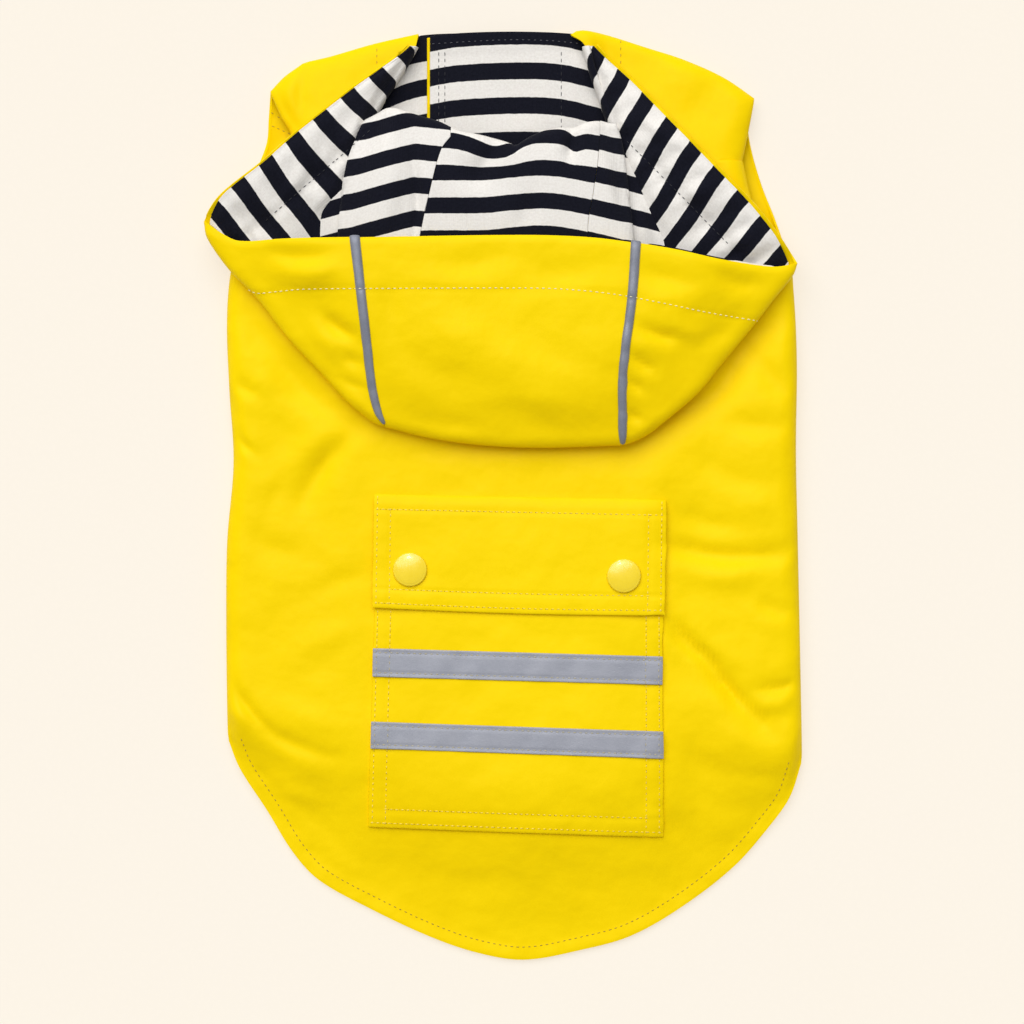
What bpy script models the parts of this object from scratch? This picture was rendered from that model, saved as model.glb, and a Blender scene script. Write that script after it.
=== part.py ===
"""Hooded dog raincoat, laid flat with its back up and its hood thrown back.

The coat is a tube of coated cloth that lies on the plane Z = 0. The back panel is on top, and two front
halves lie under it and overlap along the chest. The hood lies on the back as a flattened bag: its upper
layer is coated side up, and its lower layer shows the striped lining between the brim and the neck.

Tables and sizes are in millimetres. +X runs across the coat, +Y from tail to neck, +Z up.
"""

import math
from collections import namedtuple

import bmesh
import bpy
from mathutils import Vector

MM = 0.001

# Walls and seams
WALL = 1.2
LINING = 1.0
TAPE = 1.0
SEAM = 0.3
SEAM_ENDS, SHOULDER_ENDS = 0.7, 0.9  # between walls that meet end to end on a fold, at their middle surfaces

# Heights of middle surfaces over the ground
GROUND = WALL / 2
SIDE_SEAM_Z = 5.2
SHOULDER_SEAM_Z = 4.2
ARMHOLE_Z = 5.4
FRONT_ARMHOLE_Z = 1.6
HEM_Z = 1.1
HEM_CORNER_Z = 3.2
BACK_Z = 11.0
BACK_CROWN = 2.5
SHOULDER_Z = 7.4
HOOD_TOP_Z = 29.5

# Plan sizes
MID_X = 4.5
HALF_WIDTH = 126.0
NECK_Y = 148.0
SHOULDER_FROM, SHOULDER_RUN = 138.0, 60.0
SIDE_ROLL = 11.0
FRONT_ROLL = 9.0
SHOULDER_ROLL = 8.0
HEM_RISE = 78.0
HEM_RISE_AT_CORNER = 18.0
OVERLAP_LEFT, OVERLAP_RIGHT = -33.8, 25.0
OVERLAP_FULL, OVERLAP_CLEAR = 32.0, 56.0
OVERLAP_COLUMNS = (OVERLAP_LEFT, -20.0, -5.0, 10.0, OVERLAP_RIGHT, OVERLAP_FULL, 44.0, OVERLAP_CLEAR)
LINING_FROM = 130.0
LINING_INSET = 1.4

# The hood's folded edge
LIP, LIP_REACH = 3.5, 5.0
HOOD_RISE_RUN = 34.0
FOLD_SLANT = 0.72  # turns a distance across the coat into one square to the hood's slanting side folds
BULGE = 6.0
RIDGE_Y, SHELL_RIDGE_Y, SIDE_RIDGE_Y = 150.0, 158.0, 166.0
THROAT_Y = 199.0
LINING_EDGE = 1.8
BAG_SHARES = (0, 0.08, 0.18, 0.3, 0.44, 0.58, 0.72, 0.86, 0.95, 1)
CHEEK_ROWS = 11
INNER_SHARES = (0.3, 0.62, 1)

# Piping, pocket and snaps
PIPING_WIDE = 4.2
SNAP_RADIUS, SNAP_HIGH = 7.5, 2.4

YELLOW = (0.99, 0.73, 0.006)
WHITE = (0.84, 0.82, 0.78)
GREY = (0.35, 0.37, 0.45)

# Outlines, tail to neck or left to right: every row is a point (x, y)
HEM_OUTLINE = (
    (-121.3, -108), (-116.4, -120.3), (-104.5, -138.8), (-93.1, -157.3), (-81.6, -169.6), (-59.6, -181.9),
    (-33.2, -194.3), (-12, -201.6), (9, -204.8), (34.5, -200.4), (56.1, -194.3), (78.1, -181.9),
    (101.9, -163.5), (118.1, -145), (126.5, -132.7), (131.4, -118),
)
LEFT_SIDE = ((-121.3, -108), (-121.9, -60), (-121.5, -20), (-118.7, 15), (-120.6, 48), (-121.6, 78), (-119.6, 101))
RIGHT_SIDE = ((131.4, -118), (130.3, -62), (129.3, -15), (128.6, 20), (129, 60), (127.6, 90), (125.5, 104))
LEFT_ARMHOLE_BACK = ((-97.5, 148), (-92.9, 158), (-97.9, 168), (-102.6, 178.6))
RIGHT_ARMHOLE_BACK = ((105, 148), (107.4, 160), (109.3, 170), (110.3, 175.6))
LEFT_ARMHOLE_FRONT = ((-115.5, 121), (-109.5, 142), (-104.3, 156), (-103.4, 167), (-103.0, 178.2))
RIGHT_ARMHOLE_FRONT = ((119.5, 123), (113.7, 138.4), (109.3, 154), (108, 165), (109.8, 175))
LEFT_SHOULDER = ((-102.6, 178.6), (-96.6, 185), (-87.8, 190.8), (-76, 194.2), (-57, 199.5), (-37.5, 203.9))
RIGHT_SHOULDER = ((36.5, 205.2), (48, 202.6), (62, 198.1), (79.4, 192.5), (97, 184.6), (110.3, 175.6))
LEFT_NECK = ((-62, 148), (-61.6, 158), (-55, 173), (-47, 186), (-39.4, 197), (-37.5, 203.9))
RIGHT_NECK = ((55, 148), (50.3, 160), (45.5, 172), (41, 183), (37.5, 195), (36.5, 205.2))
REAR_EDGE_LEFT = ((-121.5, -98), (-96, -84), (-60, -61), (-20, -48), (25, -45))
REAR_EDGE_RIGHT = ((-33.8, -50), (10, -46), (55, -55), (100, -84), (131.1, -108))

# Values along the coat or across it: every row is (position, value)
HOOD_LEFT_FOLD = (
    (18, -49), (26, -53.5), (32.3, -57), (40, -66.2), (54.3, -79.7), (69.6, -94), (88.4, -108.9),
    (99.2, -119.6), (113.7, -129.9), (120.8, -131.6),
)
HOOD_RIGHT_FOLD = (
    (10, 50), (20, 55), (28.8, 65.2), (45.3, 84.7), (57, 94.4), (76.8, 110.7), (88.4, 119.7), (97.5, 126.9),
    (102.5, 128.7),
)
HOOD_CROWN = ((-52.3, 31), (-34.8, 26.6), (-14.7, 23.5), (7.3, 22), (24.9, 22), (50.4, 22.9))
PIPING_LEFT_X = ((32.3, -52.3), (37.3, -55), (49.9, -57.7), (67.8, -59.7), (90.9, -62.5), (113.5, -65.1))
PIPING_RIGHT_X = ((23.3, 52.3), (49.9, 52), (64.2, 53.2), (87.1, 56.2), (111, 57.9))
BRIM_Y = ((-116.5, 111.8), (-97.6, 112.7), (-67.1, 113.2), (7.3, 114.3), (36.2, 113.4), (55.9, 111.1),
          (75.7, 107.8), (95.4, 103.6), (120, 100.3))
OPENING_LEFT_X = ((120.8, -131.6), (125, -130.2), (133.3, -123.8), (146.7, -106.7), (158, -94), (166.8, -83.2),
                  (179.6, -67.1), (188.1, -55.4), (196.2, -44.6), (203, -38.6))
OPENING_RIGHT_X = ((102.5, 128.7), (108, 125.6), (116.5, 120), (128.6, 110.2), (139.8, 99.4), (151, 88.6),
                   (162.2, 77.9), (173, 67.5), (183.7, 57.2), (193.6, 46.4), (203, 37.6))
VALLEY_LEFT_X = ((30, -48), (60, -60), (90, -68), (115, -70.8), (145, -67.4), (160.4, -61.8), (173.8, -55.2),
                 (185.5, -47.5), (203, -37.6))
VALLEY_RIGHT_X = ((20, 44), (60, 62), (95, 70), (111, 70.4), (124.3, 64.7), (140.6, 58), (156, 51.5), (170, 46.2),
                  (193.4, 38.4), (203, 36.6))
LOWER_SEAM_LEFT = ((30, -52.4), (166, -26))
LOWER_SEAM_RIGHT = ((22, 52.2), (166, 40))
RIDGE_LIFT = ((-75, 0), (-58, 18), (-38, 16.5), (-18, 8), (-3, 2.5), (14, 9), (38, 15), (50, 15), (62, 4))

Fold = namedtuple("Fold", "x y turn long wide high")
BACK_FOLDS = (
    Fold(104, -18, -4, 26, 13, -1.2),
    Fold(94, -78, -42, 24, 12, -1.5),
    Fold(98, -148, -46, 22, 11, -1.3),
    Fold(-88, 8, 48, 26, 13, -1.2),
    Fold(-101, -119, -38, 24, 12, -1.2),
    Fold(-88, -52, 8, 24, 13, 0.9),
    Fold(30, -176, 12, 30, 11, -0.9),
)

Quad = namedtuple("Quad", "left_x right_x left_y right_y")
FLAP_TOP = Quad(-56.8, 71.2, 0.8, -1.8)
FLAP_BOTTOM = Quad(-57.6, 70.6, -48.6, -52.1)
POCKET_TOP = Quad(-55.6, 69.8, -9.0, -11.4)
POCKET_BOTTOM = Quad(-59.5, 70.2, -145.5, -150.0)
TAPES = {
    "tape_upper": (Quad(-57.4, 69.9, -66.7, -70.4), Quad(-57.6, 69.8, -79.2, -82.8)),
    "tape_lower": (Quad(-58.2, 70.0, -99.0, -103.4), Quad(-58.4, 70.0, -110.7, -115.3)),
}
SNAPS = {"snap_left": (-41.1, -32.1), "snap_right": (52.9, -34.8)}


def clamp(share):
    return min(max(share, 0.0), 1.0)


def ramp(share):
    """Rises smoothly from 0 to 1."""
    share = clamp(share)
    return share * share * (3 - 2 * share)


def roll(share):
    """A quarter circle's height: steep at 0, level at 1."""
    return math.sqrt(1 - (1 - clamp(share)) ** 2)


def mix(a, b, share):
    return a + (b - a) * share


def hermite(knots, values, at):
    """A smooth curve through values at rising knots, held past its ends."""
    at = min(max(at, knots[0]), knots[-1])
    last = len(knots) - 1
    k = next(n for n in range(last) if at <= knots[n + 1] or n == last - 1)

    def slope(n):
        low, high = max(n - 1, 0), min(n + 1, last)
        return (values[high] - values[low]) / (knots[high] - knots[low])

    span = knots[k + 1] - knots[k]
    s = (at - knots[k]) / span
    return (
        values[k] * (1 + 2 * s) * (1 - s) ** 2
        + slope(k) * (span * s * (1 - s) ** 2)
        + values[k + 1] * (s * s * (3 - 2 * s))
        - slope(k + 1) * (span * s * s * (1 - s))
    )


def along(rows, at):
    """The value of a table of (position, value) rows at a position."""
    return hermite([row[0] for row in rows], [row[1] for row in rows], at)


def path(*points):
    """A smooth curve through points, as a function of the share of its length."""
    points = [Vector(p) for p in points]
    knots = [0.0]
    for a, b in zip(points, points[1:]):
        knots.append(knots[-1] + (b - a).length)
    return lambda share: hermite(knots, points, share * knots[-1])


def coons(south, north, west, east):
    """The patch that fills four outlines, as a function of shares across and along."""

    def at(f, t):
        across = south(f).lerp(north(f), t)
        lengthways = west(t).lerp(east(t), f)
        corners = south(0).lerp(south(1), f).lerp(north(0).lerp(north(1), f), t)
        return across + lengthways - corners

    return at


def folds(x, y, table):
    """The soft troughs and ridges of a table, added up at a point."""
    height = 0.0
    for fold in table:
        turn = math.radians(fold.turn)
        dx, dy = x - fold.x, y - fold.y
        down = (dx * math.cos(turn) + dy * math.sin(turn)) / fold.long
        side = (dy * math.cos(turn) - dx * math.sin(turn)) / fold.wide
        height += fold.high * math.exp(-down * down - side * side)
    return height


def swell(x, y):
    """Middle surface of the back away from its edges, without its folds."""
    across = (x - MID_X) / HALF_WIDTH
    body = BACK_Z + BACK_CROWN * (1 - across * across)
    return mix(body, SHOULDER_Z, ramp((y - SHOULDER_FROM) / SHOULDER_RUN))


def back_height(x, y):
    return swell(x, y) + folds(x, y, BACK_FOLDS)


def side_seam_height(y, hem_y):
    """Height of a side seam, from the hem's corner forwards."""
    return mix(HEM_CORNER_Z, SIDE_SEAM_Z, ramp((y - hem_y) / HEM_RISE_AT_CORNER))


def fold_distance(x, y):
    """How far a point of the hood is from the folded outline of its bag."""
    ways = (
        (x - along(HOOD_LEFT_FOLD, y)) * FOLD_SLANT,
        (along(HOOD_RIGHT_FOLD, y) - x) * FOLD_SLANT,
        y - along(HOOD_CROWN, x),
    )
    if min(ways) <= 0:
        return 0.0
    return sum(way**-3 for way in ways) ** (-1 / 3)


def hood_bed(x, y):
    """Middle surface of the hood's lower layer where it lies on the back."""
    return swell(x, y) + WALL + SEAM


def bulge(x, y):
    """How far the lower layer stands up between the two valleys, towards the neck."""
    left, right = along(VALLEY_LEFT_X, y), along(VALLEY_RIGHT_X, y)
    within = ramp((x - left) / 15) * ramp((right - x) / 15)
    return BULGE * within * ramp((y - 60) / 85)


def rim_lift(y, low, high):
    """How far a cheek's opening edge stands over the bed, from corner to throat."""
    share = clamp((y - low) / (high - low))
    return 2.0 + 6.5 * math.sin(math.pi * share ** 0.8)


def cheek_lift(x, y, side):
    """The cheek's slope, from its valley up to the opening edge."""
    if side < 0:
        edge, valley, low = along(OPENING_LEFT_X, y), along(VALLEY_LEFT_X, y), 120.8
    else:
        edge, valley, low = along(OPENING_RIGHT_X, y), along(VALLEY_RIGHT_X, y), 102.5
    share = clamp((x - valley) / (edge - valley))
    return rim_lift(y, low, 203.0) * share * ramp((y - low + 6) / 16)


def hood_upper(x, y):
    reach = fold_distance(x, y)
    lip = hood_bed(x, y) + LIP
    rise = HOOD_TOP_Z - lip - LIP
    return lip + LIP * roll(reach / LIP_REACH) + rise * ramp(reach / HOOD_RISE_RUN)


def hood_lower(x, y, side=0):
    """Middle surface of the hood's lower layer, from the crown fold up to the opening."""
    lip = hood_bed(x, y) + LIP
    inside = fold_distance(x, min(y, 100.0)) if side == 0 else fold_distance(x, y)
    low = lip - LIP * roll(inside / LIP_REACH)
    if side:
        low = mix(low, hood_bed(x, y), ramp((y - 100) / 22))
        low += cheek_lift(x, y, side)
    return low + bulge(x, y)


def spread(count, near=0, far=0, reach=0.0, span=1.0):
    """Shares from 0 to 1, with extra ones on a quarter circle's spacing within reach of either end."""
    start = [reach / span * (1 - math.cos(math.pi / 2 * n / near)) for n in range(near)] if near else []
    end = [1 - reach / span * (1 - math.cos(math.pi / 2 * n / far)) for n in range(far)][::-1] if far else []
    low = reach / span if near else 0.0
    high = 1 - reach / span if far else 1.0
    return start + [mix(low, high, n / count) for n in range(count + 1)] + end


def moved_out(surface, x, y, out):
    """A point of a surface, moved out square to it."""
    step = 0.5
    slope_x = (surface(x + step, y) - surface(x - step, y)) / (2 * step)
    slope_y = (surface(x, y + step) - surface(x, y - step)) / (2 * step)
    square = Vector((-slope_x, -slope_y, 1)).normalized()
    return Vector((x, y, surface(x, y))) + square * out


def clear_scene():
    for obj in list(bpy.data.objects):
        bpy.data.objects.remove(obj, do_unlink=True)


def material(name, colour, roughness):
    made = bpy.data.materials.new(name)
    made.use_nodes = True
    shader = made.node_tree.nodes["Principled BSDF"]
    shader.inputs["Base Color"].default_value = (*colour, 1)
    shader.inputs["Roughness"].default_value = roughness
    return made


def cloth(name, finish, shares_across, shares_along, place, wall=WALL, keep=None):
    """A wall of cloth: a grid whose points place(f, t, i, j) puts on its middle surface, then thickened."""
    columns, rows = len(shares_across) - 1, len(shares_along) - 1
    bm = bmesh.new()
    bmesh.ops.create_grid(bm, x_segments=columns, y_segments=rows, size=0.5)
    cell = {
        v: (round((v.co.x + 0.5) * columns), round((v.co.y + 0.5) * rows)) for v in bm.verts
    }
    if keep:
        dropped = [
            face
            for face in bm.faces
            if not keep(min(cell[v][0] for v in face.verts), min(cell[v][1] for v in face.verts))
        ]
        for face in dropped:
            bm.faces.remove(face)
        loose = [v for v in bm.verts if not v.link_faces]
        for v in loose:
            bm.verts.remove(v)
    for v in bm.verts:
        i, j = cell[v]
        v.co = Vector(place(shares_across[i], shares_along[j], i, j)) * MM
    mesh = bpy.data.meshes.new(name)
    bm.to_mesh(mesh)
    bm.free()
    obj = bpy.data.objects.new(name, mesh)
    obj.data.materials.append(finish)
    thick = obj.modifiers.new("Wall", "SOLIDIFY")
    thick.thickness = wall * MM
    thick.offset = 0
    thick.use_even_offset = True
    thick.use_quality_normals = True
    COAT.objects.link(obj)
    return obj


def back_body():
    """The plan of the back's body, from the tail's hem to the neck, between the side seams."""
    left_edge = path(*LEFT_SIDE, (-113, 124), LEFT_ARMHOLE_BACK[0])
    right_edge = path(*RIGHT_SIDE, (111, 126), RIGHT_ARMHOLE_BACK[0])
    neck_row = path(LEFT_ARMHOLE_BACK[0], RIGHT_ARMHOLE_BACK[0])
    return coons(path(*HEM_OUTLINE), neck_row, left_edge, right_edge)


def body_point(body, f, t):
    """A point of the body's middle surface, by shares across and along: it sinks to its sides and its hem."""
    spot, west, east, hem = body(f, t), body(0, t), body(1, t), body(f, 0)
    from_side = min(spot.x - west.x, east.x - spot.x)
    rolled_in = roll(from_side / SIDE_ROLL)
    in_armhole = ramp((spot.y - 112) / 26)
    seam = mix(SIDE_SEAM_Z, ARMHOLE_Z, in_armhole)
    height = mix(seam, back_height(spot.x, spot.y), rolled_in)
    corner = math.exp(-((from_side / 16) ** 2))
    hem_z = mix(HEM_Z, HEM_CORNER_Z, corner)
    run = mix(HEM_RISE_AT_CORNER, HEM_RISE, clamp(from_side / 45))
    return Vector((spot.x, spot.y, mix(hem_z, height, ramp((spot.y - hem.y) / run))))


def body_height(body, x, y):
    """Height of the body's middle surface over a point of the plan, closing in on its two shares."""
    f, t = 0.5 + (x - MID_X) / (2 * HALF_WIDTH), (y + 205) / 353
    step = 0.001
    for _ in range(5):
        spot = body(f, t)
        across, length = (body(f + step, t) - spot) / step, (body(f, t + step) - spot) / step
        dx, dy = x - spot.x, y - spot.y
        area = across.x * length.y - across.y * length.x
        f += (dx * length.y - dy * length.x) / area
        t += (dy * across.x - dx * across.y) / area
    return body_point(body, f, t).z


def build_back():
    """The back panel: one grid with the body below the neck and a shoulder on each side of it."""
    body = back_body()
    width = RIGHT_ARMHOLE_BACK[0][0] - LEFT_ARMHOLE_BACK[0][0]
    at_left = (LEFT_NECK[0][0] - LEFT_ARMHOLE_BACK[0][0]) / width
    at_right = (RIGHT_NECK[0][0] - LEFT_ARMHOLE_BACK[0][0]) / width
    rolled = [0.0, 0.001, 0.012, 0.046]
    across = rolled + [0.11, at_left]
    neck_left = len(across) - 1
    across += [mix(at_left, at_right, n / 7) for n in range(1, 8)]
    neck_right = len(across) - 1
    across += [0.89] + [1 - share for share in reversed(rolled)]
    body_rows = [0, 0.022, 0.06, 0.11, 0.17, 0.235, 0.3, 0.37, 0.44, 0.52, 0.6, 0.68, 0.76, 0.84, 0.92, 1]
    shoulder_rows = [0.3, 0.6, 0.85, 0.97, 1.0]
    last_body_row = len(body_rows) - 1
    left = coons(
        path(LEFT_NECK[0], LEFT_ARMHOLE_BACK[0]), path(*reversed(LEFT_SHOULDER)), path(*LEFT_NECK),
        path(*LEFT_ARMHOLE_BACK),
    )
    right = coons(
        path(RIGHT_NECK[0], RIGHT_ARMHOLE_BACK[0]), path(*RIGHT_SHOULDER), path(*RIGHT_NECK),
        path(*RIGHT_ARMHOLE_BACK),
    )

    def place_shoulder(patch, g, t):
        """g runs from the neck out to the armhole, and t up to the shoulder seam."""
        spot, top, out = patch(g, t), patch(g, 1), patch(1, t)
        from_seam = (top - spot).length
        from_armhole = (out - spot).length
        height = back_height(spot.x, spot.y)
        height = mix(ARMHOLE_Z, height, roll(from_armhole / SIDE_ROLL))
        return Vector((spot.x, spot.y, mix(SHOULDER_SEAM_Z, height, roll(from_seam / SHOULDER_ROLL))))

    def place(f, t, i, j):
        if j <= last_body_row:
            return body_point(body, f, t)
        if i <= neck_left:
            return place_shoulder(left, 1 - f / at_left, t)
        return place_shoulder(right, (f - at_right) / (1 - at_right), t)

    def keep(i, j):
        return j < last_body_row or not neck_left <= i < neck_right

    cloth("back", COATED, across, body_rows + shoulder_rows, place, keep=keep)


def front_height(spot, from_side, from_top, rises, hem_y):
    """Middle surface of a front half: flat on the ground, rolled up to the seams at its edges."""
    in_armhole = ramp((spot.y - 112) / 22)
    edge = mix(side_seam_height(spot.y, hem_y) - SEAM_ENDS, FRONT_ARMHOLE_Z, in_armhole)
    height = mix(edge, GROUND, roll(from_side / FRONT_ROLL))
    shoulder = SHOULDER_SEAM_Z - SHOULDER_ENDS
    return mix(height, mix(shoulder, height, roll(from_top / SHOULDER_ROLL)), rises)


def overlap_lift(x, y):
    """The right half lies over the left one, and over its lining near the neck."""
    over = WALL + SEAM + mix(0, LINING + SEAM, ramp((y - 98) / 14))
    return over * clamp((OVERLAP_CLEAR - x) / (OVERLAP_CLEAR - OVERLAP_FULL))


def build_fronts():
    left = coons(
        path(*REAR_EDGE_LEFT),
        path(*LEFT_SHOULDER, (-6, 205.4), (OVERLAP_RIGHT, 205.6)),
        path((-121.5, -98), *LEFT_SIDE[1:], *LEFT_ARMHOLE_FRONT[:-1], LEFT_SHOULDER[0]),
        path((OVERLAP_RIGHT, -45), (OVERLAP_RIGHT, 205.6)),
    )
    right = coons(
        path(*REAR_EDGE_RIGHT),
        path((OVERLAP_LEFT, 204.2), (0, 205.6), *RIGHT_SHOULDER),
        path((OVERLAP_LEFT, -50), (OVERLAP_LEFT, 204.2)),
        path((131.1, -108), *RIGHT_SIDE[1:], *RIGHT_ARMHOLE_FRONT[:-1], RIGHT_SHOULDER[-1]),
    )
    rolled = [0, 0.0015, 0.016, 0.062]
    across = rolled + [0.14, 0.24, 0.36, 0.5, 0.64, 0.78, 0.9, 1]
    rows = [0, 0.08, 0.18, 0.3, 0.42, 0.54, 0.64, 0.72, 0.78, 0.84, 0.9, 0.955, 0.99, 1]
    over_left = list(OVERLAP_COLUMNS)
    beyond = [0.25, 0.5, 0.72, 0.88, 0.97, 0.999, 1]

    def place_left(f, t, i, j):
        spot, side, top = left(f, t), left(0, t), left(f, 1)
        rises = ramp((-41 - spot.x) / 10)
        height = front_height(spot, spot.x - side.x, (top - spot).length, rises, HEM_OUTLINE[0][1])
        return Vector((spot.x, spot.y, height))

    def place_right(f, t, i, j):
        west, side = right(0, t), right(1, t)
        x = over_left[i] if i < len(over_left) else mix(over_left[-1], side.x, beyond[i - len(over_left)])
        share = (x - west.x) / (side.x - west.x)
        for _ in range(4):
            share = clamp(share + (x - right(share, t).x) / (side.x - west.x))
        spot, top = right(share, t), right(share, 1)
        rises = ramp((spot.x - 50) / 8)
        height = front_height(spot, side.x - spot.x, (top - spot).length, rises, HEM_OUTLINE[-1][1])
        return Vector((spot.x, spot.y, height + overlap_lift(spot.x, spot.y)))

    cloth("front_left", COATED, across, rows, place_left)
    cloth("front_right", COATED, over_left + beyond, rows, place_right)


def build_neck_linings():
    """The striped linings of the front halves, built down from the neckline to where the hood hides them."""
    over = WALL / 2 + SEAM + LINING / 2
    shares = [n / 6 for n in range(7)]
    rows = [0, 0.35, 0.7, 0.88, 1]

    def patch(west, east, north):
        return coons(
            path((west[0][0], LINING_FROM), (east[0][0], LINING_FROM)), path(*north), path(*west), path(*east)
        )

    left = patch(
        ((-72, LINING_FROM), (-64, 166), (-50, 186), (-41, 199.5)),
        ((OVERLAP_RIGHT - 2, LINING_FROM), (OVERLAP_RIGHT - 2, 205)),
        ((-41, 199.5), (-6, 204.6), (OVERLAP_RIGHT - 2, 205)),
    )
    outer = path((70, LINING_FROM), (57, 166), (42, 192), (36.5, 203.4))
    inner_columns = [OVERLAP_LEFT + LINING_INSET, *OVERLAP_COLUMNS[1:6]]
    neckline = ((OVERLAP_LEFT + LINING_INSET, 203.4), (0, 204.8), (36.5, 203.4))

    def place_left(f, t, i, j):
        spot = left(f, t)
        return Vector((spot.x, spot.y, GROUND + over))

    def place_right(f, t, i, j):
        edge = outer(t)
        beyond = (i - len(inner_columns) + 1) / 2
        x = inner_columns[i] if beyond <= 0 else mix(inner_columns[-1], edge.x, beyond)
        y = mix(LINING_FROM, along(neckline, x), t)
        return Vector((x, y, GROUND + over + overlap_lift(x, y)))

    cloth("neck_lining_left", STRIPED, shares, rows, place_left, wall=LINING)
    cloth("neck_lining_right", STRIPED, [0.0] * (len(inner_columns) + 2), rows, place_right, wall=LINING)


HoodSide = namedtuple("HoodSide", "name side fold piping opening valley seam corner_y first_y")
HOOD_SIDES = (
    HoodSide("left", -1, HOOD_LEFT_FOLD, PIPING_LEFT_X, OPENING_LEFT_X, VALLEY_LEFT_X, LOWER_SEAM_LEFT,
             120.8, 37.0),
    HoodSide("right", 1, HOOD_RIGHT_FOLD, PIPING_RIGHT_X, OPENING_RIGHT_X, VALLEY_RIGHT_X, LOWER_SEAM_RIGHT,
             102.5, 29.5),
)


def lower_seam_x(hood, y):
    """The seam between the middle and a side panel on the lower layer, from the crown fold up to the neck."""
    (low, x_low), (high, x_high) = hood.seam
    return mix(x_low, x_high, (y - low) / (high - low))


def build_hood_centre():
    """The hood's middle panel: from the brim over the upper layer, round the crown fold and up to the neck."""
    top_rows, under_rows = 7, 8
    across = [n / 8 for n in range(9)]
    fold_steps = (0.0, 0.12, 0.55, 1.6, 4.2)
    gap = SEAM / 2

    def upper_spot(f, y_share, from_fold=None):
        """A point on the upper layer, by its share of the way from brim to fold, or by its distance to the fold."""
        x = mix(-58.0, 54.0, f)
        for _ in range(3):
            brim, crown = along(BRIM_Y, x), along(HOOD_CROWN, x)
            y = crown + from_fold if from_fold is not None else mix(brim, crown + fold_steps[-1], y_share)
            x = mix(along(PIPING_LEFT_X, y) + gap, along(PIPING_RIGHT_X, y) - gap, f)
        return x, y

    def lower_spot(f, y_share, from_fold=None):
        x = mix(-50.0, 48.0, f)
        for _ in range(4):
            crown = along(HOOD_CROWN, x)
            y = crown + from_fold if from_fold is not None else mix(crown + fold_steps[-1], RIDGE_Y - 6, y_share)
            x = mix(lower_seam_x(HOOD_SIDES[0], y) + gap, lower_seam_x(HOOD_SIDES[1], y) - gap, f)
        return x, y

    steps = [("upper", n / top_rows, None) for n in range(top_rows + 1)]
    steps += [("upper", None, d) for d in reversed(fold_steps[:-1])]
    steps += [("lower", None, d) for d in fold_steps[1:-1]]
    steps += [("lower", n / under_rows, None) for n in range(under_rows + 1)]

    def place(f, t, i, j):
        layer, share, from_fold = steps[j]
        if layer == "upper":
            x, y = upper_spot(f, share, from_fold)
            return Vector((x, y, hood_upper(x, y)))
        x, y = lower_spot(f, share, from_fold)
        return Vector((x, y, hood_lower(x, y)))

    cloth("hood_centre", COATED, across, [0.0] * len(steps), place)


def hood_levels(hood):
    """Rows of a side panel in Y: the bag from the crown to the hood's corner, then the cheek to the throat."""
    bag = [mix(hood.first_y, hood.corner_y, share) for share in BAG_SHARES]
    return bag + [mix(hood.corner_y, THROAT_Y, n / CHEEK_ROWS) for n in range(1, CHEEK_ROWS + 1)]


def build_hood_side(hood):
    """A side panel: upper layer, side fold, lower layer, and the cheek that runs on up to the throat."""
    levels = hood_levels(hood)
    last_bag = len(BAG_SHARES) - 1
    ridge = max(n for n, y in enumerate(levels) if y <= SHELL_RIDGE_Y)
    upper = [0, 0.3, 0.6, 0.82, 0.94, 0.985, 0.998]
    lower = [0, 0.004, 0.02, 0.07, 0.18, 0.45, 0.72, 1]
    inner = INNER_SHARES
    fold_column = len(upper)
    valley_column = fold_column + len(lower) - 1
    columns = fold_column + len(lower) + len(inner)
    out = hood.side

    def outer_x(y):
        return along(hood.fold, y) if y <= hood.corner_y else along(hood.opening, y)

    def place(f, t, i, j):
        y = levels[j]
        edge = outer_x(y)
        if i < fold_column:
            share = upper[i]
            seam_y = mix(hood.first_y - 3.0, along(BRIM_Y, along(hood.piping, 112.0)), j / last_bag)
            start = along(hood.piping, seam_y) + out * SEAM / 2
            x = mix(start, edge, share)
            y = mix(seam_y, y, share**5)
            if j == last_bag:
                y = mix(along(BRIM_Y, x), y, share**8)
            return Vector((x, y, hood_upper(x, y)))
        seam = lower_seam_x(hood, y) + out * SEAM / 2
        valley = mix(mix(edge, seam, 0.6), along(hood.valley, y), ramp((y - 45) / 25))
        if i <= valley_column:
            x = mix(edge, valley, lower[i - fold_column])
        else:
            x = mix(valley, seam, inner[i - valley_column - 1])
        return Vector((x, y, hood_lower(x, y, out)))

    def keep(i, j):
        if i < fold_column:
            return j < last_bag
        return i < valley_column or j < ridge

    cloth(f"hood_{hood.name}", COATED, [0.0] * columns, [0.0] * len(levels), place, keep=keep)


def ridge_y(x):
    """Where the lining rolls over above the neck seam."""
    return RIDGE_Y + along(RIDGE_LIFT, x)


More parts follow.
